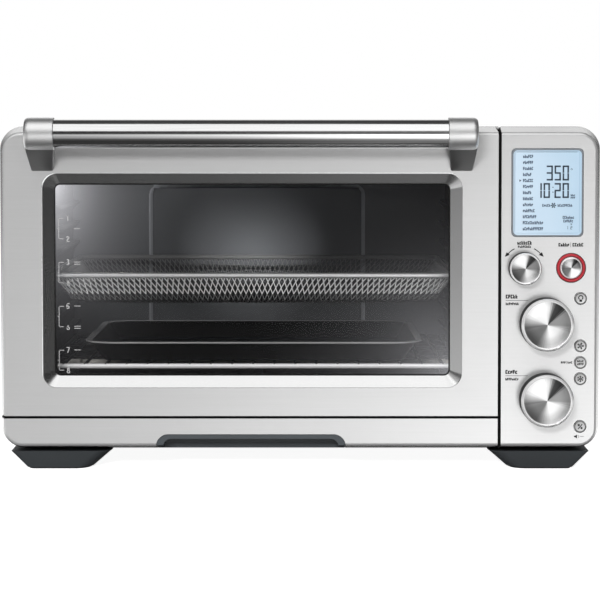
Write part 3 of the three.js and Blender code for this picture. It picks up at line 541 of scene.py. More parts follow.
def soften(data, limit):
    """Smooth shading that breaks at edges sharper than the limit, in degrees."""
    shape = bmesh.new()
    shape.from_mesh(data)
    for face in shape.faces:
        face.smooth = True
    for edge in shape.edges:
        angle = edge.calc_face_angle() if len(edge.link_faces) == 2 else math.pi
        edge.smooth = angle < math.radians(limit)
    shape.to_mesh(data)
    shape.free()


def modify(made, kind, **settings):
    step = made.modifiers.new(kind.lower(), kind)
    for key, value in settings.items():
        setattr(step, key, value)


def applied(made):
    """Replaces an object's mesh by what its modifiers make of it."""
    bpy.context.view_layer.update()
    result = made.evaluated_get(bpy.context.evaluated_depsgraph_get())
    data = bpy.data.meshes.new_from_object(result)
    made.modifiers.clear()
    made.data = data


def combine(made, operation, tool):
    """Joins, cuts or keeps by a second object, which is used up."""
    modify(made, "BOOLEAN", operation=operation, solver="EXACT", object=tool)
    applied(made)
    bpy.data.objects.remove(tool)


def bevel(made, width, angle):
    modify(made, "BEVEL", width=width * MM, segments=3, limit_method="ANGLE",
           angle_limit=math.radians(angle))
    applied(made)


def coat(made, finishes):
    for key in finishes:
        made.data.materials.append(LOOKS[key])


def piece(name, shape, finishes, body, stands_for=(), slot=None, cut=(), limit=32, weighted=False):
    """Places a shape as a piece that rides on a CAD body."""
    made = shape if isinstance(shape, bpy.types.Object) else shape.object(name)
    made.name = name
    if not made.data.materials:
        coat(made, finishes)
    for cutter in cut:
        combine(made, "DIFFERENCE", cutter.object("cutter"))
    soften(made.data, limit)
    if weighted:
        modify(made, "WEIGHTED_NORMAL", keep_sharp=True)
    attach(made, body)
    if stands_for:
        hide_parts(*stands_for)
    return made


def body_of(node):
    return frame["nodes"][node]["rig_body"]


def stand_in(node, shape, finishes, slot, **settings):
    """A finer piece that takes one CAD node's place on the same body."""
    return piece("fine_" + node, shape, finishes, body_of(node), (node,), slot, **settings)


# -------- front skins

DEPTH, SHEET = 28.0, 1.5
# The folded edges: radius, radius next to another skin, turn in degrees, steps of the bend, lean
# of the sides that face no other skin, and the depth behind the face and the reach from the edge of
# the painted shade on a fold inside a seam
BEND, SEAM_BEND, BEND_TURN, BEND_STEPS = 2.5, 0.35, 78, 7
FLARE = math.radians(12)
SEAM_FRONT, SEAM_SHADE = 0.3, 1.4
# Corner radii, and a depth past the rear edge for cutters
BIG, SMALL = 22.0, 3.0
BEHIND = DEPTH + 2
# The skin's finishes: face, window slope, and near black as painted shade on folds inside a seam
SKIN_LOOKS = ["brushed_steel", "edge_steel", "seal_and_painted_seam_shade"]


def skin_rings(area, flared, inset=0.0):
    """Outlines of a front skin from its rear edge to the edge of its flat face."""
    rings = [upright(outline(area, shrink=(inset,) * 4), DEPTH)]
    for step in range(BEND_STEPS, -1, -1):
        angle = math.radians(BEND_TURN * step / BEND_STEPS)
        y = BEND * (1 - math.cos(angle))
        bent = max(1 - math.sin(angle) / math.cos(FLARE), 0)
        outer = bent * BEND + math.tan(FLARE) * (DEPTH - y) + inset
        seam = bent * SEAM_BEND + inset
        shrink = tuple(outer if side else seam for side in flared)
        rings.append(upright(outline(area, shrink=shrink), y + inset))
    return rings


def paint_seam_shade(shape, area, flared):
    """Marks the folded edges next to another skin near black: painted shade for the dark of the
    seam.
    """
    x0, x1, z0, z1, _ = area
    sides = (lambda x, z: x - x0, lambda x, z: x1 - x, lambda x, z: z - z0, lambda x, z: z1 - z)
    for side, open_side in zip(sides, flared):
        if not open_side:
            shape.remark(2, lambda x, y, z: y > SEAM_FRONT and side(x, z) < SEAM_SHADE)
    return shape


def plain_skin(node, radii, flared):
    """A pressed front skin, open at the back."""
    area = area_of(node, radii)
    outer, inner = skin_rings(area, flared), skin_rings(area, flared, SHEET)
    return paint_seam_shade(Shape().loft(outer[::-1] + inner), area, flared)


# The pane reaches behind the skin's opening, and the skin slopes in from the recess to the opening
GLASS = span("door_outer_glass")
PANE_GROW = 7.0
VIEW = (GLASS[0][0] + PANE_GROW, GLASS[0][1] - PANE_GROW,
        GLASS[2][0] + PANE_GROW, GLASS[2][1] - PANE_GROW, 5.0)
RECESS = (VIEW[0] - 10.1, VIEW[1] + 10.4, VIEW[2] - 10.1, VIEW[3] + 9.3, 12.7)
BEVEL = 7.0
CENTRE_X = (VIEW[0] + VIEW[1]) / 2


def make_door():
    """The door's skin, folded in round the window, and the dark seal of the pane."""
    area = area_of("door_frame", (SMALL, SMALL, SMALL, BIG))
    flared = (True, False, False, True)
    front = skin_rings(area, flared) + uprights((RECESS, 0.9, 0.0))
    slope = uprights((RECESS, 0.9, 0.0), (RECESS, 0.3, 0.12), (RECESS, -0.3, 0.5),
                     (VIEW, 0.5, BEVEL - 0.35), (VIEW, 0.1, BEVEL - 0.1), (VIEW, 0.0, BEVEL))
    inside = uprights((VIEW, 0.0, BEVEL), (VIEW, SHEET, BEVEL), (RECESS, SHEET, SHEET))
    inside += skin_rings(area, flared, SHEET)[::-1] + uprights((area, 0.0, DEPTH))
    skin = Shape().loft(front, caps=False).loft(slope, caps=False, mark=1).loft(inside, caps=False)
    notches, inner, outer, high = [], 12.3, 1.9, 7
    for node, side in (("door_hinge_left", -1), ("door_hinge_right", 1)):
        x, bottom = middle(node)[0], area[2]
        ends = sorted((x - side * inner, x + side * outer))
        notches.append(Shape().block(ends, (SHEET + 0.3, BEHIND), (bottom - 2, bottom + high)))
    paint_seam_shade(skin, area, flared)
    stand_in("door_frame", skin, SKIN_LOOKS, "brushed_steel", cut=notches, weighted=True)
    lip, gap, near, far = -0.75, -0.02, 6.3, 7.22
    seal_and_painted_seam_shade = uprights((VIEW, gap, near), (VIEW, lip, near), (VIEW, lip, far), (VIEW, gap, far))
    piece("glass_seal", Shape().loft(seal_and_painted_seam_shade, closed=True), ["seal_and_painted_seam_shade"], body_of("door_frame"),
          slot="black_plastic", weighted=True)


def make_lower_front():
    """The crumb tray's front strip, and the hollow grip in its lower edge."""
    corners, flared = (BIG, SMALL, SMALL, SMALL), (True, False, True, False)
    (x0, x1), _, (_, top) = span("crumb_tray_grip")
    low, gap, front, wall, roof, deep = 8.8, 0.3, 0.8, 6.3, 4.1, 21
    area = (x0 - gap, x1 + gap, low, top + gap, (1.0, 1.0, 11.0, 11.0))
    recess = (x0 + wall, x1 - wall, low, top - roof, (1.0, 1.0, 7.0, 7.0))
    notch = Shape().prism(outline(area, steps=10), -2, BEHIND)
    stand_in("crumb_tray_front", plain_skin("crumb_tray_front", corners, flared), SKIN_LOOKS,
             "brushed_steel", cut=[notch], weighted=True)
    grip = Shape().prism(outline(area, -gap, steps=10), front, DEPTH - 0.5).object("grip")
    hull = Shape().loft(skin_rings(area_of("crumb_tray_front", corners), flared)).object("hull")
    combine(grip, "INTERSECT", hull)
    hollow = Shape().prism(outline(recess, steps=10), -2, deep).object("hollow")
    combine(grip, "DIFFERENCE", hollow)
    bevel(grip, 0.6, 40)
    stand_in("crumb_tray_grip", grip, ["grip_plastic"], "dark_plastic", weighted=True)


# -------- handle


def make_handle():
    """A polished tube whose ends step down into the caps."""
    (x0, x1), _, (low, high) = span("handle_bar")
    _, y, z = middle("handle_bar")
    radius, half = (high - low) / 2, (x1 - x0) / 2
    spigot, inserted, wall = 9.0, 14, 5.6
    shoulder, bore = half - inserted, radius - wall
    end = [(radius - 0.15, shoulder), (spigot, shoulder), (spigot, half), (bore, half)]
    profile = [(r, -h) for r, h in end[::-1]] + [(radius, -shoulder + 0.2), (radius, 0.0)]
    profile += [(radius, shoulder - 0.2)] + end + [(bore, -half)]
    bar_shape = Shape().lathe(profile, (CENTRE_X, y, z), "x", 96)
    stand_in("handle_bar", bar_shape, ["polished_aluminium"], "polished_aluminium", weighted=True)
    for node, side in (("handle_bracket_left", -1), ("handle_bracket_right", 1)):
        make_bracket(node, side, y, z, shoulder + 0.12)


def make_bracket(node, side, y, z, inner):
    """The cap on one end of the bar, and the arm that sweeps back and down to the door."""
    (x0, x1), _, (low, high) = span(node)
    outer = max(abs(x0 - CENTRE_X), abs(x1 - CENTRE_X))
    radius = high - z
    profile = rounded([
        (0.0, inner), (radius - 0.2, inner, 0.1), (radius, inner + 0.2, 0.1),
        (radius, outer - 3.6, 1.5), (radius - 1.1, outer - 1.0, 1.2),
        (radius - 3.0, outer - 0.1, 1.0), (radius - 4.0, outer - 0.3), (0.0, outer - 0.15),
    ])
    cap = Shape().lathe([(r, side * h) for r, h in profile], (CENTRE_X, y, z), "x", 96)
    reach, top = -0.3, span("door_frame")[2][1] - 9
    side_view = [(reach, low), (reach, top)]
    side_view += sweep((reach, top), (-12, z + 11), (y + 2, z + 12), 8)[1:]
    side_view += sweep((y - 11, z - 6), (y + 6, low + 14), (reach, low), 8)[:-1]
    near, far, near_taper, far_taper = inner + 0.4, outer - 0.3, 3.4, 2.4

    def across(height, at_end):
        """The arm narrows towards the door, more on its inner side."""
        drop = min(max((z - radius - height) / (z - radius - low), 0), 1)
        return CENTRE_X + side * (far - far_taper * drop if at_end else near + near_taper * drop)

    rings = [[(across(h, at_end), d, h) for d, h in side_view] for at_end in (False, True)]
    arm, cap = Shape().loft(rings, mark=1).object("arm"), cap.object("cap")
    # The arm gets a darker copy of the cap's aluminium as painted shade
    finishes = ["satin_aluminium", "painted_shade_aluminium"]
    for made in (arm, cap):
        coat(made, finishes)
    bevel(arm, 1.3, 35)
    combine(cap, "UNION", arm)
    stand_in(node, cap, finishes, "satin_aluminium", limit=28, weighted=True)


# -------- control panel

DIALS = ("select_dial", "temp_dial", "time_dial")
BUTTONS = ("light_button", "convection_button", "phase_button", "frozen_button", "volume_button")
NOTCH_ANGLE, NOTCH_WIDTH = -64.0, 3.0
DIAL_FACE, DIAL_SKIRT, DIAL_STEM, STEM_END = 0.895, -2.2, 3.0, 9.0
LCD = area_of("lcd_bezel", 4.0)


def turned(shape, profile, centre, steps, mark=0):
    return shape.lathe(profile, (centre[0], 0, centre[1]), "y", steps, mark)


def make_dial(node):
    """A dished, spun face inside a bright bevel, a dark flank, and a notch cut in the edge."""
    centre, radius, front, back = round_part(node)
    face, skirt, stem = radius * DIAL_FACE, DIAL_SKIRT, DIAL_STEM
    # The select dial rides on a plunger of its own
    stem_end = min(back, STEM_END) if node != "select_dial" else skirt
    dish = [(0.0, front + 1.0), (face * 0.5, front + 0.75), (face - 0.5, front + 0.3)]
    rim = rounded([
        (face - 0.5, front + 0.3), (face, front + 0.05), (face + 0.6, front + 0.15, 0.2),
        (radius - 0.7, front + 1.5, 0.5), (radius - 0.35, front + 2.0),
    ])
    flank = rounded([
        (radius - 0.35, front + 2.0), (radius, front + 2.7, 0.4), (radius, skirt - 0.5, 0.4),
        (radius - 0.5, skirt), (stem, skirt), (stem, stem_end), (0.0, stem_end),
    ])
    shape = Shape()
    for mark, profile in enumerate((dish, rim, flank)):
        turned(shape, profile, centre, 120, mark)
    angle = math.radians(NOTCH_ANGLE)
    start, end = polar(centre, face - 0.4, angle), polar(centre, radius - 1.0, angle)
    cutter = Shape().prism(stroke(start, end, NOTCH_WIDTH), front - 1, front + 2.2)
    stand_in(node, shape, ["spun_aluminium", "dial_edge", "skirt"], "spun_aluminium", cut=[cutter],
             limit=25)


def make_button(node):
    """A small flat key on a wider collar behind the panel."""
    centre, collar, front, back = round_part(node)
    lip, step = 1.1, 1.9
    r = collar - lip
    profile = rounded([
        (0.0, front), (r - 0.9, front + 0.02), (r - 0.35, front + 0.2, 0.3),
        (r, front + 0.7, 0.3), (r, step), (collar, step), (collar, back), (0.0, back),
    ])
    shape = turned(Shape(), profile, centre, 64)
    stand_in(node, shape, ["button_metal"], "satin_aluminium", limit=50)


def make_start_key():
    """A spun key inside a red ring."""
    centre, r, front, back = round_part("start_stop_button")
    edge, width = r - 1.4, 2.5
    face = [(0.0, front), (r * 0.5, front + 0.06), (edge, front + 0.3)]
    rim = rounded([(edge, front + 0.3), (r - 0.4, front + 0.8, 0.5), (r, front + 1.8, 0.4),
                   (r, back), (0.0, back)])
    shape = turned(turned(Shape(), face, centre, 96), rim, centre, 96, 1)
    stand_in("start_stop_button", shape, ["spun_aluminium", "dial_edge"], "polished_aluminium",
             limit=30)
    _, outer, front, back = round_part("start_stop_ring")
    inner = outer - width
    ring = rounded([
        (inner, back), (inner, front + 0.9, 0.4), (inner + 0.6, front + 0.1, 0.5),
        (outer - 0.8, front + 0.1, 0.6), (outer, front + 0.9, 0.5), (outer, back), (inner, back),
    ])
    shape = turned(Shape(), ring, centre, 96)
    stand_in("start_stop_ring", shape, ["red_ring"], "red_ring", limit=40)


def make_panel():
    """The panel's skin with its holes, and the display's frame."""
    skin = plain_skin("control_panel", (SMALL, BIG, BIG, SMALL), (False, True, True, True))
    cuts = [Shape().prism(outline(LCD, 0.3), -2, 6)]
    # Which part comes through, the hole's radius and its sides
    holes = [(node, 5.9, 72) for node in BUTTONS] + [("start_stop_ring", 13.6, 90)]
    for node, radius, sides in holes + [(node, 4.4, 36) for node in DIALS]:
        cuts.append(Shape().prism(disc(round_part(node)[0], radius, sides), -2, 5))
    stand_in("control_panel", skin, SKIN_LOOKS, "brushed_steel", cut=cuts, weighted=True)

    window = LCD[:4] + (5.4,)
    lip = [(LCD, 0.0, 9.0), (LCD, 0.0, 0.0), (LCD, -0.1, -0.3), (LCD, -0.4, -0.5),
           (window, -1.0, -0.5), (window, -1.4, -0.3)]
    slope = [(window, -1.4, -0.3), (window, -3.0, 0.7), (window, -3.05, 0.8)]
    inside = [(window, -3.05, 0.8), (window, -3.05, 9.0), (LCD, 0.0, 9.0)]
    frame_shape = Shape()
    for mark, rows in enumerate((lip, slope, inside)):
        frame_shape.loft(uprights(*rows), caps=False, mark=mark)
    stand_in("lcd_bezel", frame_shape, ["bezel", "display", "display"], "black_plastic")


# -------- printed marks

# The bars of a seven-segment figure, from the top clockwise, and g across the middle
SEGMENTS = {"0": "abcdef", "1": "bc", "2": "abged", "3": "abgcd", "5": "afgcd"}


def bar(x0, x1, z0, z1):
    return [(x0, z0), (x1, z0), (x1, z1), (x0, z1)]


def stroke(a, b, width):
    along = (Vector(b) - Vector(a)).normalized()
    over = Vector((-along.y, along.x)) * width / 2
    return [tuple(Vector(p) + s * over) for p, s in ((a, 1), (a, -1), (b, -1), (b, 1))]


def band(centre, radius, width, start, end, steps=24):
    outer, inner = radius + width / 2, radius - width / 2
    return arc(centre, outer, start, end, steps) + arc(centre, inner, end, start, steps)


def hoop(centre, radius, width):
    return [band(centre, radius, width, 0, 180), band(centre, radius, width, 180, 360)]


def moved(shapes, x, z):
    return [[(x + a, z + b) for a, b in shape] for shape in shapes]


def digit(figure, x, z, wide, high, thick):
    """One seven-segment figure with its lower left corner at (x, z)."""
    gap, half = 0.12 * thick, high / 2
    flat, left, right = (gap, wide - gap), (0, thick), (wide - thick, wide)
    lower, upper = (gap, half - gap), (half + gap, high - gap)
    places = {
        "a": bar(*flat, high - thick, high), "b": bar(*right, *upper), "c": bar(*right, *lower),
        "d": bar(*flat, 0, thick), "e": bar(*left, *lower), "f": bar(*left, *upper),
        "g": bar(*flat, half - thick / 2, half + thick / 2),
    }
    return moved([places[s] for s in SEGMENTS[figure]], x, z)


def numeral(value, x, z, high):
    """A plain printed figure of straight and round strokes, with its lower left at (x, z)."""
    wide, t = high * 0.58, high * 0.16
    r, mid = wide / 2, high / 2

    def line(*ends):
        return stroke(ends[:2], ends[2:], t)

    def bow(a, b, radius, start, end, steps=12):
        return band((a, b), radius - t / 2, t, start, end, steps)

    def loop(b, radius):
        return hoop((r, b), radius - t / 2, t)

    draw = {
        1: [line(r, 0, r, high), line(r, high - t / 2, r * 0.3, high * 0.78)],
        2: [bow(r, high - r, r, -30, 180), line(wide - t, mid + t, t * 0.4, t / 2),
            bar(0, wide, 0, t)],
        3: [bow(r * 0.9, high - r * 0.86, r * 0.86, -90, 150),
            bow(r * 0.9, r * 0.94, r * 0.94, -150, 90)],
        4: [line(wide * 0.75, 0, wide * 0.75, high), bar(0, wide, high * 0.26, high * 0.26 + t),
            line(t * 0.3, high * 0.3, wide * 0.72, high)],
        5: [bar(0, wide * 0.95, high - t, high), bar(0, t, mid - t, high),
            bow(r * 0.9, r, r, -150, 120, 14)],
        6: [*loop(r, r), bow(high * 0.62, r, high * 0.62, 118, 180, 8)],
        7: [bar(0, wide, high - t, high), line(wide - t / 2, high - t / 2, wide * 0.3, 0)],
        8: [*loop(r, r), *loop(high - r * 0.85, r * 0.85)],
    }
    return moved(draw[value], x, z)


def ticks(x, z, count, high, pitch):
    """A line of small neutral strokes where the real thing has small print."""
    shapes = []
    for i in range(count):
        tall = high * random.choice((1.0, 0.75, 1.0))
        left = x + i * pitch
        shapes.append(bar(left, left + pitch * 0.48, z, z + tall))
        for share in random.choice(((0.0, 0.36), (0.36, 0.72), (0.0, 0.72))):
            low = z + tall * share
            shapes.append(bar(left + pitch * 0.48, left + pitch * 0.88, low, low + high * 0.28))
    return shapes


def lettering(centre, *rows):
    """Rows of five are ticks (place, count, height, pitch); rows of four are bars."""
    shapes = []
    for row in rows:
        shapes += ticks(*row) if len(row) == 5 else [bar(*row)]
    return moved(shapes, *centre)


def flower(radius, petals):
    """Blades round a small hub at (0, 0)."""
    shapes = [disc((0, 0), radius * 0.22)]
    for i in range(petals):
        angle = 2 * math.pi * i / petals
        root, tip = polar((0, 0), radius * 0.3, angle), polar((0, 0), radius, angle)
        shapes.append(stroke(root, tip, radius * 0.42))
    return shapes


def printed(name, shapes, node, y, look, slot="black_plastic", thick=0.06):
    """Marks as thin raised ink on a face of a CAD node, at depth y."""
    made = Shape()
    for shape in shapes:
        made.prism(shape, y - thick, y)
    return piece(name, made, [look], body_of(node), slot=slot)


def make_panel_marks():
    centre = {node: round_part(node)[0] for node in DIALS + BUTTONS + ("start_stop_ring",)}
    shapes, left, surface = [], 186.8, -0.02
    # Two arrows and small print over the select dial
    select = centre["select_dial"]
    for side in (-1, 1):
        start, end = sorted((90 - side * 27, 90 - side * 50))
        shapes.append(band(select, 19.6, 0.85, start, end, 10))
        tip, back = math.radians(90 - side * 60), math.radians(90 - side * 48)
        head = [polar(select, 20.4, tip), polar(select, 17.7, back), polar(select, 21.5, back)]
        shapes.append(head if side < 0 else head[::-1])
    shapes += lettering(select, (-6.4, 21.2, 7, 3.3, 1.9), (-5.8, 18.3, 8, 2.1, 1.5))
    shapes += lettering(centre["start_stop_ring"], (-11.5, 19.4, 5, 3.2, 2.0),
                        (-0.6, -0.3, 18.9, 23.1), (1.2, 19.4, 5, 3.2, 2.0))
    for node in ("temp_dial", "time_dial"):
        shapes += lettering((left, centre[node][1]), (0, 22.6, 5, 3.6, 2.2),
                            (0, 20.4, 20.7, 21.1), (0, 16.6, 8, 2.4, 1.5))
    shapes += lettering(centre["phase_button"], (-17.6, -1.0, 3, 2.0, 1.5),
                        (-12.6, -12.3, -1.5, 1.5), (-11.6, -1.0, 3, 2.0, 1.5))
    # A small horn with its sound waves, under the last button
    horn = [(-5.2, -0.7), (-4.2, -0.7), (-2.6, -1.8), (-2.6, 1.8), (-4.2, 0.7), (-5.2, 0.7)]
    horn = [horn, band((-2.6, 0), 1.6, 0.35, -50, 50, 8), bar(0.2, 3.6, -0.2, 0.2)]
    x, z = centre["volume_button"]
    printed("panel_print", shapes + moved(horn, x, z - 9.2), "control_panel", surface, "ink")
    make_button_marks([centre[node] for node in BUTTONS])


def make_button_marks(centres):
    """A bulb, a fan, small print, a flake and a level mark, each inside a hoop."""
    middle_point, flake = (0, 0), []
    bulb = [band((0, 0.8), 1.9, 0.9, -50, 230, 20), bar(-1.2, 1.2, -3.0, -0.9)]
    words = ticks(-2.9, 0.4, 4, 1.8, 1.5) + ticks(-2.9, -2.2, 4, 1.8, 1.5)
    for i in range(6):
        angle = math.pi * i / 3 + math.pi / 6
        root, side, tip = [polar(middle_point, r, angle) for r in (0.3, 1.9, 2.9)]
        flake.append(stroke(root, tip, 0.75))
        flake += [stroke(side, polar(side, 1.0, angle + turn), 0.6) for turn in (-0.9, 0.9)]
    mark = [stroke((-1.8, -2.2), (1.9, 2.3), 0.8), disc((-1.2, 1.4), 1.0), disc((1.3, -1.3), 1.0)]
    icons = (bulb, flower(3.1, 5), words, flake, mark)
    for node, centre, shapes in zip(BUTTONS, centres, icons):
        shapes = moved(shapes + hoop(middle_point, 4.75, 0.5), *centre)
        printed(node + "_icon", shapes, node, span(node)[1][0], "ink", thick=0.05)


# The display's menu: how many ticks each line has, the lines' pitch, and the line pointed at
MENU = (6, 6, 6, 5, 6, 6, 5, 6, 6, 7, 8, 12, 12)
MENU_PITCH, CHOSEN = 5.47, 4
# Where the figures end, as a share of the display's width
COLUMN = 0.835
# The display's other small print: place across and up as shares of the window, a step to the
# right in millimetres, and the count, height and pitch of its ticks
SMALL_PRINT = (
    (COLUMN, 0.455, 1.6, 3, 1.9, 1.4), (COLUMN, 0.425, 1.6, 3, 1.7, 1.4),
    (0.42, 0.325, 0, 5, 2.4, 1.5), (0.66, 0.325, 0, 9, 2.4, 1.5),
    (0.74, 0.175, 0, 7, 2.6, 1.5), (0.75, 0.13, 0, 6, 2.6, 1.5),
)


def make_display():
    (x0, x1), (front, _), (z0, z1) = span("lcd_display")

    def at(across, up, right=0.0):
        return (x0 + (x1 - x0) * across + right, z0 + (z1 - z0) * up)

    big, small, left = [], [], x0 + 6.9
    for row, count in enumerate(MENU):
        small += ticks(left, z1 - 5.2 - row * MENU_PITCH, count, 2.9, 1.55)
    pointed = z1 - 3.8 - CHOSEN * MENU_PITCH
    big.append([(left - 3.2, pointed - 1.2), (left - 3.2, pointed + 1.2), (left - 1.4, pointed)])
    # Temperature and time, set from the right, with a degree sign and a colon
    pitch, size = 7.3, (5.8, 13.6, 1.45)
    for figures, up in (("350", 0.65), ("1020", 0.433)):
        for i, figure in enumerate(figures):
            nudge = -2.6 if len(figures) == 4 and i < 2 else 0
            x, z = at(COLUMN, up, 1.5 + nudge - (len(figures) - i) * pitch)
            big += digit(figure, x, z, *size)
    for up in (0.5, 0.56):
        x, z = at(COLUMN, up, -2 * pitch - 0.3)
        big.append(bar(x, x + 0.9, z, z + 0.9))
    small += hoop(at(COLUMN, 0.79, 2.4), 0.7, 0.35)
    for across, up, right, *row in SMALL_PRINT:
        small += ticks(*at(across, up, right), *row)
    x, z = at(0.595, 0.325)
    big += moved(flower(2.5, 6), x, z + 1.2)
    big.append([at(0.855, 0.115), at(0.875, 0.1), at(0.895, 0.115)])
    big += digit("1", *at(0.8, 0.045), 1.4, 3.0, 0.4) + digit("2", *at(0.86, 0.045), 1.7, 3.0, 0.4)
    printed("display_figures", big, "lcd_display", front - 0.02, "lcd_ink", "display")
    printed("display_lines", small, "lcd_display", front - 0.02, "lcd_text", "display")


def make_glass_marks():
    """Rack positions printed on the outer pane, in pairs joined by brackets."""
    left, first, pitch, reach = VIEW[0] + 3.4, VIEW[3] - 31.0, 40.15, 19.2
    line, arm, high, dash, dash_end = 0.55, 4.6, 5.2, 14.0, 19.8
    shapes = []
    for pair in range(4):
        top = first - pair * pitch
        low = top - (reach if pair < 3 else reach * 0.98)
        half = (low + top) / 2
        shapes += [bar(left, left + line, low, top), bar(left, left + arm, top - line, top),
                   bar(left, left + arm, low, low + line),
                   bar(left - 1.0, left, half - 0.25, half + 0.25)]
        for i, z in enumerate((top, low)):
            shapes += numeral(2 * pair + i + 1, left + 7.0, z - high / 2, high)
    # Dashes beside the numbers, by pair and share of the way down it
    for pair, row in ((0, 0.5), (1, 0.0), (1, 0.1), (2, 0.0), (2, 0.96), (2, 1.06), (3, 0.0)):
        z = first - pair * pitch - row * reach
        shapes.append(bar(left + dash, left + dash_end, z - 0.3, z + 0.3))
    front = span("door_outer_glass")[1][0]
    printed("glass_scale", shapes, "door_outer_glass", front - 0.02, "glass_print", "clear_glass",
            0.04)


# -------- inside the oven


def make_rack():
    (x0, x1), (y0, y1), (_, top) = span("wire_rack")
    wire, rod, brace, count, pitch = 2.4, 1.45, 1.6, 19, 19.6
    z, half = top - wire, (y0 + y1) / 2
    area = (x0 + wire, x1 - wire, y0 + wire, y1 - wire, 7.0)
    shape = Shape().tube(level(outline(area), z), wire - 0.1, 16, True, mark=1)
    shape.tube([(x0 + 7, y0 + wire, z), (x1 - 7, y0 + wire, z)], wire, 16)
    for i in range(count):
        x = CENTRE_X + (i - (count - 1) / 2) * pitch
        shape.tube([(x, y0 + 1.0, z + 0.95), (x, y1 - 1.0, z + 0.95)], rod, 12, mark=1)
    for y in (half - 60, half, half + 60):
        shape.tube([(x0 + wire, y, z - 0.7), (x1 - wire, y, z - 0.7)], brace, 12, mark=1)
    # Painted shade: every wire but the front bar gets the darker copy of the wire
    stand_in("wire_rack", shape, ["rack_wire", "painted_shade_dim_wire"], "chrome_wire")


BASKET_RADIUS, RIM, RAIL = 22.0, 2.4, 8.0
MESH_WIDE, MESH_HIGH = 5.3, 11.8


def make_basket():
    """The basket's rims and side rails; its mesh is a piece of its own."""
    (x0, x1), (y0, y1), (low, high) = span("air_fry_basket")
    area = (x0 + RAIL, x1 - RAIL, y0 + RIM, y1 - RIM, BASKET_RADIUS)
    top = high - RIM
    shape = Shape().tube(level(outline(area, steps=10), top), RIM - 0.05, 14, True, mark=1)
    shape.tube([(x0 + 0.1, y0 + 2.65, top), (x1 - 0.1, y0 + 2.65, top)], 2.5, 16)
    first, last, bend = 66, 314, 8
    for end, side in ((x0, 1), (x1, -1)):
        edge, inner = end + side * 1.6, end + side * RAIL
        path = [(inner, first, top - 1.0), (edge, first + bend, top - 1.6),
                (edge, last - bend, top - 1.6), (inner, last, top - 1.0)]
        legs = [(Vector(a), Vector(b)) for a, b in zip(path, path[1:])]
        shape.tube([a.lerp(b, t) for a, b in legs for t in (0.1, 0.5, 0.9)], 1.5, 10)
    # Painted shade: the rim, away from the front, gets a darker copy of the wire
    shape.remark(0, lambda x, y, z: y < y0 + 3 * RIM)
    stand_in("air_fry_basket", shape, ["chrome_wire", "painted_shade_far_wire"], "chrome_wire")
    make_basket_mesh(area, top, low + 0.6)


def make_basket_mesh(area, top, low):
    """Stretched-metal mesh: diamonds down the sloping walls, over the bend and across the floor."""
    # How far out and how high the mesh runs, from the rim down, and its length up to there
    sections = [(0.0, top - 0.5), (-10.0, low + 3.0), (-12.2, low + 0.7), (-15.5, low)]
    lengths = [0.0]
    for a, b in zip(sections, sections[1:]):
        lengths.append(lengths[-1] + math.dist(a, b))
    rim = outline(area, steps=24)
    steps = [math.dist(a, b) for a, b in zip(rim, rim[1:] + rim[:1])]
    columns = 2 * round(sum(steps) / MESH_WIDE)
    rows = round(lengths[-1] / (MESH_HIGH / 2))
    # Spots spread evenly round the rim, as an index and share on the outline
    spots, run, i = [], 0.0, 0
    for column in range(columns):
        want = sum(steps) * column / columns
        while run + steps[i] < want:
            run += steps[i]
            i += 1
        spots.append((i, (want - run) / steps[i]))

    walls = {}
    for j in range(rows + 1):
        depth, k = lengths[-1] * j / rows, 0
        while k < len(lengths) - 2 and lengths[k + 1] < depth:
            k += 1
        t = (depth - lengths[k]) / (lengths[k + 1] - lengths[k])
        grow, height = [a + (b - a) * t for a, b in zip(sections[k], sections[k + 1])]
        side = -grow * 1.6
        bowl = area[:4] + (BASKET_RADIUS + side,)
        ring = outline(bowl, shrink=(side, side, -grow, -grow), steps=24)
        for i, (spot, share) in enumerate(spots):
            if (i + j) % 2 == 0:
                a, b = Vector(ring[spot]), Vector(ring[(spot + 1) % len(ring)])
                walls[i, j] = (*a.lerp(b, share), height)

    # Floor lattice, clipped to the rounded outline of the bend
    inset, r, floor = -sections[-1][0], BASKET_RADIUS, {}
    x0, x1 = area[0] + inset * 1.6, area[1] - inset * 1.6
    y0, y1 = area[2] + inset, area[3] - inset
    across, back = 2 * round((x1 - x0) / MESH_WIDE), 2 * round((y1 - y0) / MESH_HIGH)
    for i in range(across + 1):
        for j in range(i % 2, back + 1, 2):
            x, y = x0 + (x1 - x0) * i / across, y0 + (y1 - y0) * j / back
            beyond = max(x0 + r - x, x - x1 + r, 0), max(y0 + r - y, y - y1 + r, 0)
            if math.hypot(*beyond) <= r + 0.4:
                floor[i, j] = (x, y, low)

    shape = Shape()
    # The walls close up round the basket, the floor doesn't
    for points, wrap in ((walls, columns), (floor, across + 2)):
        for (i, j), here in points.items():
            for step in (-1, 1):
                there = points.get(((i + step) % wrap, j + 1))
                if there:
                    add_strand(shape, (here, there), area[2] + 20, low)
    # Painted shade: bright wire in front, a darker copy at the back, a near-black one on the floor
    finishes = ["basket_wire", "painted_shade_far_wire", "painted_shade_dim_wire"]
    body = body_of("air_fry_basket")
    piece("basket_mesh", shape, finishes, body, slot="chrome_wire", limit=60)


def add_strand(shape, ends, front, low):
    """A strand of the mesh: thicker in front; painted shade keeps it bright in front, grey at the
    back and dark on the floor.
    """
    near = all(y < front and z > low + 6.0 for _, y, z in ends)
    raised = all(z > low + 0.1 for _, _, z in ends)
    shape.tube(ends, 0.6 if near else 0.5, 4, mark=0 if near else 1 if raised else 2)


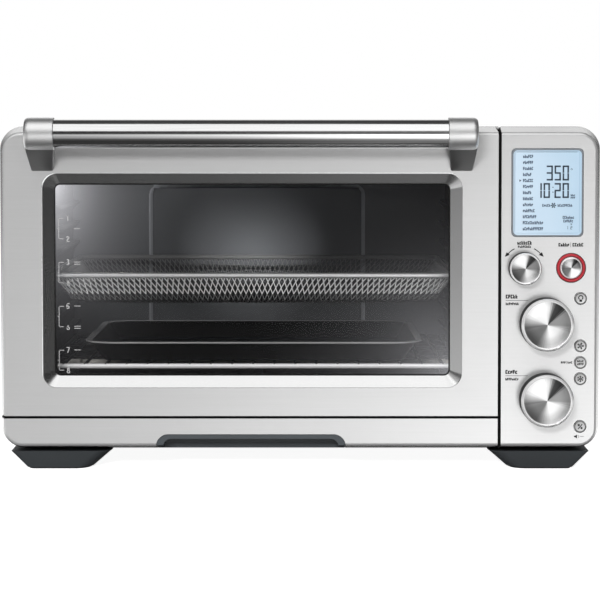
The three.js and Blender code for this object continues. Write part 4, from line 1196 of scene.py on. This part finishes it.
def make_pan():
    (x0, x1), (y0, y1), (low, high) = span("roasting_pan")
    lip = 6.0
    area = (x0 + lip, x1 - lip, y0 + lip, y1 - lip, 24.0)

    def rings(z, *rows):
        """Rings from rows of growth and height over z."""
        return [level(outline(area, grow, steps=12), z + over) for grow, over in rows]

    outside = rings(low, (-16.0, 0.0), (-13.2, 0.3), (-10.8, 1.3), (-9.4, 3.2))
    outside += rings(high, (-1.2, -4.5), (-0.2, -2.6), (1.2, -1.7), (4.8, -1.7))
    # The rim gets a lighter copy of the enamel as a painted highlight
    rim = rings(high, (4.8, -1.7), (5.7, -1.4), (6.0, -0.8), (5.7, -0.2), (4.9, 0.0), (1.0, 0.0),
                (-0.6, -0.5))
    inside = rings(high, (-0.6, -0.5), (-1.8, -1.8), (-3.2, -4.0))
    inside += rings(low, (-10.8, 4.4), (-12.0, 2.9), (-14.2, 1.9), (-17.3, 1.6))
    base = [list(range(len(inside[0])))]
    shape = Shape().loft(outside, caps=False).loft(rim, caps=False, mark=1)
    shape.loft(inside, caps=False).add(outside[0], base).add(inside[-1], base)
    stand_in("roasting_pan", shape, ["enamel", "painted_highlight_enamel"], "enamel", limit=60, weighted=True)


def make_heaters():
    """Quartz rods with a thicker holder at each end."""
    for node in STAYING["quartz"]:
        (x0, x1), _, _ = span(node)
        _, y, z = middle(node)
        half, rod, holder, tip = (x1 - x0) / 2, 4.5, 5.9, 4.1
        wall = half - 14
        end = [(rod, wall - 12.5), (holder, wall - 11, 0.8), (holder, wall, 0.5), (tip, wall),
               (tip, half, 0.6), (0.0, half)]
        start = [(r, -h, *bend) for r, h, *bend in end[::-1]]
        profile = rounded(start + [(rod, 0.0)] + end, 3)
        stand_in(node, Shape().lathe(profile, (CENTRE_X, y, z), "x", 32), ["quartz"], "quartz")


def make_rear_wall():
    """The rear wall as one pressed sheet: a shallow bowed pocket with rounded edges, which get a
    painted highlight.
    """
    (x0, x1), (front, back), (z0, z1) = span("cavity_rear_wall")
    half, low, top, pocket_x = 115.0, 62.0, 252.0, CENTRE_X - 2.2
    edge, radius, shallow = 5.0, 12.0, 3.0
    deep = back - front - SHEET

    def reach_in(x, z):
        """0 outside the pocket and on its border, 1 from its edge's width inwards."""
        out_x, out_z = abs(x - pocket_x) - half, max(low - z, z - top)
        dx, dz = max(out_x + radius, 0), max(low + radius - z, z - top + radius, 0)
        out = math.hypot(dx, dz) - radius if dx and dz else max(out_x, out_z)
        return min(max(-out / edge, 0), 1)

    def pressed(x, z):
        t = reach_in(x, z)
        ease = t * t * (3 - 2 * t)
        bow = 1 - min(abs((x - pocket_x) / half), 1) ** 2.2
        return front + ease * (shallow + (deep - shallow) * bow)

    fine = [edge * k / 8 for k in range(9)]
    xs = {x0 + (x1 - x0) * i / 60 for i in range(61)} | {x0, x1}
    xs |= {pocket_x + side * (half - step) for side in (-1, 1) for step in fine}
    zs = {z0 + (z1 - z0) * i / 40 for i in range(41)} | {z0, z1}
    zs |= {low + step for step in fine} | {top - step for step in fine}
    zs |= {top - radius * k / 6 for k in range(7)}
    xs, zs = sorted(xs), sorted(zs)
    nx, nz = len(xs), len(zs)
    points = [(x, pressed(x, z), z) for z in zs for x in xs]
    behind = nx * nz
    points += [(x, y + SHEET - 0.02, z) for x, y, z in points]
    shape = Shape().add(points, [])
    for j in range(nz - 1):
        for i in range(nx - 1):
            a = j * nx + i
            quad = [a, a + 1, a + nx + 1, a + nx]
            share = reach_in((xs[i] + xs[i + 1]) / 2, (zs[j] + zs[j + 1]) / 2)
            shape.faces += [quad, [p + behind for p in quad[::-1]]]
            # Faces on the pocket's edge bends get the lighter coating as a painted highlight
            shape.marks += [int(0.0 < share < 0.7), 0]
    border = list(range(nx)) + [j * nx + nx - 1 for j in range(1, nz)]
    border += [(nz - 1) * nx + i for i in range(nx - 2, -1, -1)]
    border += [j * nx for j in range(nz - 2, 0, -1)]
    for a, b in zip(border, border[1:] + border[:1]):
        shape.faces.append([a, b, b + behind, a + behind])
        shape.marks.append(0)
    finishes = ["cavity_coating", "painted_highlight_coating"]
    stand_in("cavity_rear_wall", shape, finishes, "cavity_coating", limit=50)


def make_feet():
    """Moulded feet that taper down, with broad inner corners and a thin rubber sole."""
    for node in ("foot_front_left", "foot_front_right", "foot_rear_left", "foot_rear_right"):
        (x0, x1), (y0, y1), (_, z1) = span(node)
        side = 1 if x0 > 0 else -1
        inner, outer = sorted((abs(x0), abs(x1)))
        corners = (14.0, 4.0, 4.0, 14.0) if side > 0 else (4.0, 14.0, 14.0, 4.0)
        top, tab_x, tab_y, tab = z1 - 1.0, side * 215, y1 - 10, (12, 4)
        inwards, outwards, along = 17.0, 14.3, 3

        def rings(*rows):
            """Rings from rows of taper and height."""
            made = []
            for step, z in rows:
                ends = side * (inner + step * inwards), side * (outer - step * outwards)
                area = (*sorted(ends), y0 + step * along, y1 - step * along, corners)
                made.append(level(outline(area), z))
            return made

        shape = Shape().loft(rings((1.16, 1.0), (1.06, 1.2), (1.0, 1.7), (0.52, 8.9),
                                   (0.07, 15.6), (0.0, top - 0.2), (0.01, top)))
        shape.loft(rings((1.22, 0.0), (1.17, 0.3), (1.17, 1.1)), mark=1)
        sides = [(at - half, at + half) for at, half in zip((tab_x, tab_y), tab)]
        shape.block(*sides, (top - 1, z1))
        finishes = ["dark_plastic", "rubber"]
        stand_in(node, shape, finishes, "dark_plastic", limit=35, weighted=True)


# -------- CAD nodes that stay

STAYING = {
    "brushed_steel": ("outer_wrap",),
    "galvanised_steel": ("rear_panel", "base_pan", "hinge_bracket_left", "hinge_bracket_right",
                         "divider_wall", "fan_motor", "lamp_housing", "convection_fan",
                         "select_plunger", "door_glass_spacer", "door_hinge_left",
                         "door_hinge_right", "crumb_tray"),
    "painted_steel": ("front_frame", "door_liner"),
    "side_coating": ("cavity_left_wall", "cavity_right_wall"),
    "cavity_coating": ("cavity_ceiling", "cavity_floor", "cavity_rear_wall"),
    "quartz": tuple(sorted(n for n in frame["nodes"] if n.startswith("heater_"))),
    "door_glass": ("door_outer_glass",),
    "clear_glass": ("door_inner_glass", "lamp_lens"),
    # The divider trim's near black stands in its seam as painted shade; the cord gland is black
    # plastic
    "black_plastic": ("cord_gland", "divider_trim"),
    "circuit_board": ("control_board",),
    "display": ("lcd_display",),
}
FLAT = ("cavity_left_wall", "cavity_right_wall")
FOLDED = ("outer_wrap", "crumb_tray", "door_hinge_left", "door_hinge_right",
          "front_frame", "door_liner", "base_pan")


def smoothing_group():
    """Welds a faceted solid and shades it smooth except at its real edges."""
    tree = bpy.data.node_groups.new("weld_and_smooth", "GeometryNodeTree")
    for way in ("INPUT", "OUTPUT"):
        tree.interface.new_socket("Geometry", in_out=way, socket_type="NodeSocketGeometry")
    node = Nodes(tree).node
    start = node("NodeGroupInput").outputs[0]
    weld = node("GeometryNodeMergeByDistance", start, Distance=0.00001).outputs[0]
    angle = node("GeometryNodeInputMeshEdgeAngle").outputs["Unsigned Angle"]
    sharp = node("FunctionNodeCompare", angle, math.radians(31),
                 data_type="FLOAT", operation="GREATER_THAN").outputs[0]
    # Both take a mesh, which elements, and whether those are smooth
    faces = node("GeometryNodeSetShadeSmooth", weld, True, True, domain="FACE").outputs[0]
    edges = node("GeometryNodeSetShadeSmooth", faces, sharp, False, domain="EDGE").outputs[0]
    node("NodeGroupOutput", edges)
    return tree


def dress_cad():
    """Every CAD node gets a material. The ones that stay in sight also get smooth shading."""
    group = smoothing_group()
    looks = {name: look for look, names in STAYING.items() for name in names}
    for name, node in frame["nodes"].items():
        node.data.materials.clear()
        coat(node, [looks.get(name, "satin_aluminium")])
        if name not in looks or name in FLAT:
            continue
        modify(node, "NODES", node_group=group)
        if name in FOLDED:
            modify(node, "BEVEL", width=0.35 * MM, segments=2, limit_method="ANGLE",
                   angle_limit=math.radians(30))
        modify(node, "WEIGHTED_NORMAL", keep_sharp=True)


# -------- setting and light

# The room as it is mirrored in metal: brightness by compass angle near the horizon (0 is in
# front of the oven, positive to the right), and by height above it.
ROUND = ((-180, 1.2), (-140, 1.2), (-110, 0.85), (-84, 0.8), (-68, 0.55), (-55, 0.65), (-35, 0.55),
         (-15, 0.42), (-7, 0.42), (-3, 0.7), (0, 1.18), (5, 2.35), (10, 2.45), (26, 1.6), (38, 0.6),
         (48, 0.05), (74, 0.04), (88, 0.5), (104, 0.9), (140, 1.2), (180, 1.2))
HEIGHT = ((-90, 0.08), (-60, 0.08), (-42, 0.2), (-34, 0.75), (-18, 1.0), (-12, 1.26), (-7, 1.16),
          (-5, 0.74), (-3, 0.34), (-1, 0.12), (1, 0.07), (5, 0.08), (24, 0.09), (44, 0.05),
          (90, 0.05))
SOFTBOXES = (
    # Azimuth and elevation of the middle, half width in degrees, edge softness, strength
    (-8, 52, 35, 0.24, 1.1),
    (-48, 30, 22, 0.6, 0.4),
    (180, 22, 28, 0.6, 0.9),
)


def make_floor():
    """A pale floor, white to the camera; to glossy rays, a painted shadow round the oven."""
    data = bpy.data.meshes.new("floor")
    size, glow, dark, half_oven = 30.0, 0.93, 0.04, (0.27, 0.2)
    data.from_pydata(level(bar(-size, size, -size, size), 0), [], [(0, 1, 2, 3)])
    floor = link(bpy.data.objects.new("floor", data))
    floor.location.z = -0.0002
    made = Finish("floor", Roughness=0.6, Specular_IOR_Level=0.1, Emission_Color=grey(1.0))
    cloud = made.between(made.noise(3, 2.0), 0.0, 1.0)
    rays = made.node("LightPath").outputs
    made.set(Base_Color=made.blend(cloud, grey(0.78), grey(0.8)))
    made.set(Emission_Strength=made.maths("MULTIPLY", rays["Is Camera Ray"], glow))
    # Metal sees a painted shadow close to the oven, a dark emission in place of the floor, and the
    # room's lower half further out
    place, squares = made.node("SeparateXYZ", made.seen("Object")).outputs, []
    for i, half in enumerate(half_oven):
        out = made.maths("SUBTRACT", made.maths("ABSOLUTE", place[i]), half)
        squares.append(made.maths("POWER", made.maths("MAXIMUM", out), 2.0))
    away = made.smooth(made.maths("SQRT", made.maths("ADD", *squares)), 0.01, 0.07)
    near, room = made.node("Emission", Strength=dark), made.node("BsdfTransparent")
    mirror = made.node("MixShader", away, near.outputs[0], room.outputs[0]).outputs[0]
    seen = made.node("MixShader", rays["Is Glossy Ray"], made.shader.outputs[0], mirror).outputs[0]
    made.plug(made.tree.nodes["Material Output"], "Surface", seen)
    data.materials.append(made.material)


def make_world():
    """A plain studio: a grey room with large soft panels, white to the camera."""
    world = bpy.data.worlds.new("studio")
    bpy.context.scene.world = world
    world.use_nodes = True
    nodes, back = Nodes(world.node_tree), world.node_tree.nodes["Background"]
    nodes.plug(back, "Color", grey(1.0))
    toward = nodes.seen("Generated")
    x, y, z = nodes.node("SeparateXYZ", toward).outputs
    compass = nodes.degrees("ARCTAN2", x, nodes.maths("MULTIPLY", y, -1.0))
    around, up = nodes.curve(compass, ROUND), nodes.curve(nodes.degrees("ARCSINE", z), HEIGHT)
    total = nodes.maths("MULTIPLY", around, up)
    for azimuth, elevation, width, soft, strength in SOFTBOXES:
        a, e = math.radians(azimuth), math.radians(elevation)
        aim = (math.sin(a) * math.cos(e), -math.cos(a) * math.cos(e), math.sin(e))
        edges = [math.cos(math.radians(width * share)) for share in (1, 1 - soft)]
        panel = nodes.smooth(nodes.vector("DOT_PRODUCT", toward, aim), *edges, strength)
        total = nodes.maths("ADD", total, panel)
    ray = nodes.node("LightPath").outputs["Is Camera Ray"]
    others = nodes.maths("MULTIPLY", total, nodes.maths("SUBTRACT", 1.0, ray))
    nodes.plug(back, "Strength", nodes.maths("ADD", others, ray))


def make_lamps():
    """A key light; inside the oven, a lamp high on the left and a strip under the roof's front."""
    rear = span("cavity_left_wall")[1][1]
    lamp_x, strip_x = span("cavity_ceiling")[0][0] + 61.5, CENTRE_X - 8
    lamps = (
        # Name, place, aim, size in metres, power, spread in degrees
        ("key", (-450, -2400, 1050), (0, 0, 180), (0.6, 0.4), 56.0, 180),
        ("oven_lamp", (lamp_x, 120, 276), (lamp_x, rear, 230), (0.03, 0.03), 0.27, 120),
        ("roof_strip", (strip_x, 38, 284), (strip_x, rear, 190), (0.012, 0.012), 0.072, 27),
    )
    for name, place, aim, size, power, spread in lamps:
        data = bpy.data.lights.new(name, "AREA")
        data.shape, data.size, data.size_y, data.energy = "RECTANGLE", *size, power
        data.spread = math.radians(spread)
        lamp = link(bpy.data.objects.new(name, data))
        place, aim = (Vector((x * MM, FACE + y * MM, z * MM)) for x, y, z in (place, aim))
        lamp.location = place
        lamp.rotation_euler = (aim - place).to_track_quat("-Z", "Y").to_euler()
        lamp.visible_glossy = lamp.visible_camera = False


# -------- assembly

bpy.context.scene.view_settings.view_transform = "Standard"
make_camera()
LOOKS = make_finishes()
dress_cad()
make_door()
make_lower_front()
make_handle()
make_panel()
for dial_name in DIALS:
    make_dial(dial_name)
for button_name in BUTTONS:
    make_button(button_name)
make_start_key()
make_panel_marks()
make_display()
make_glass_marks()
make_rear_wall()
make_rack()
make_basket()
make_pan()
make_heaters()
make_feet()
make_floor()
make_world()
make_lamps()
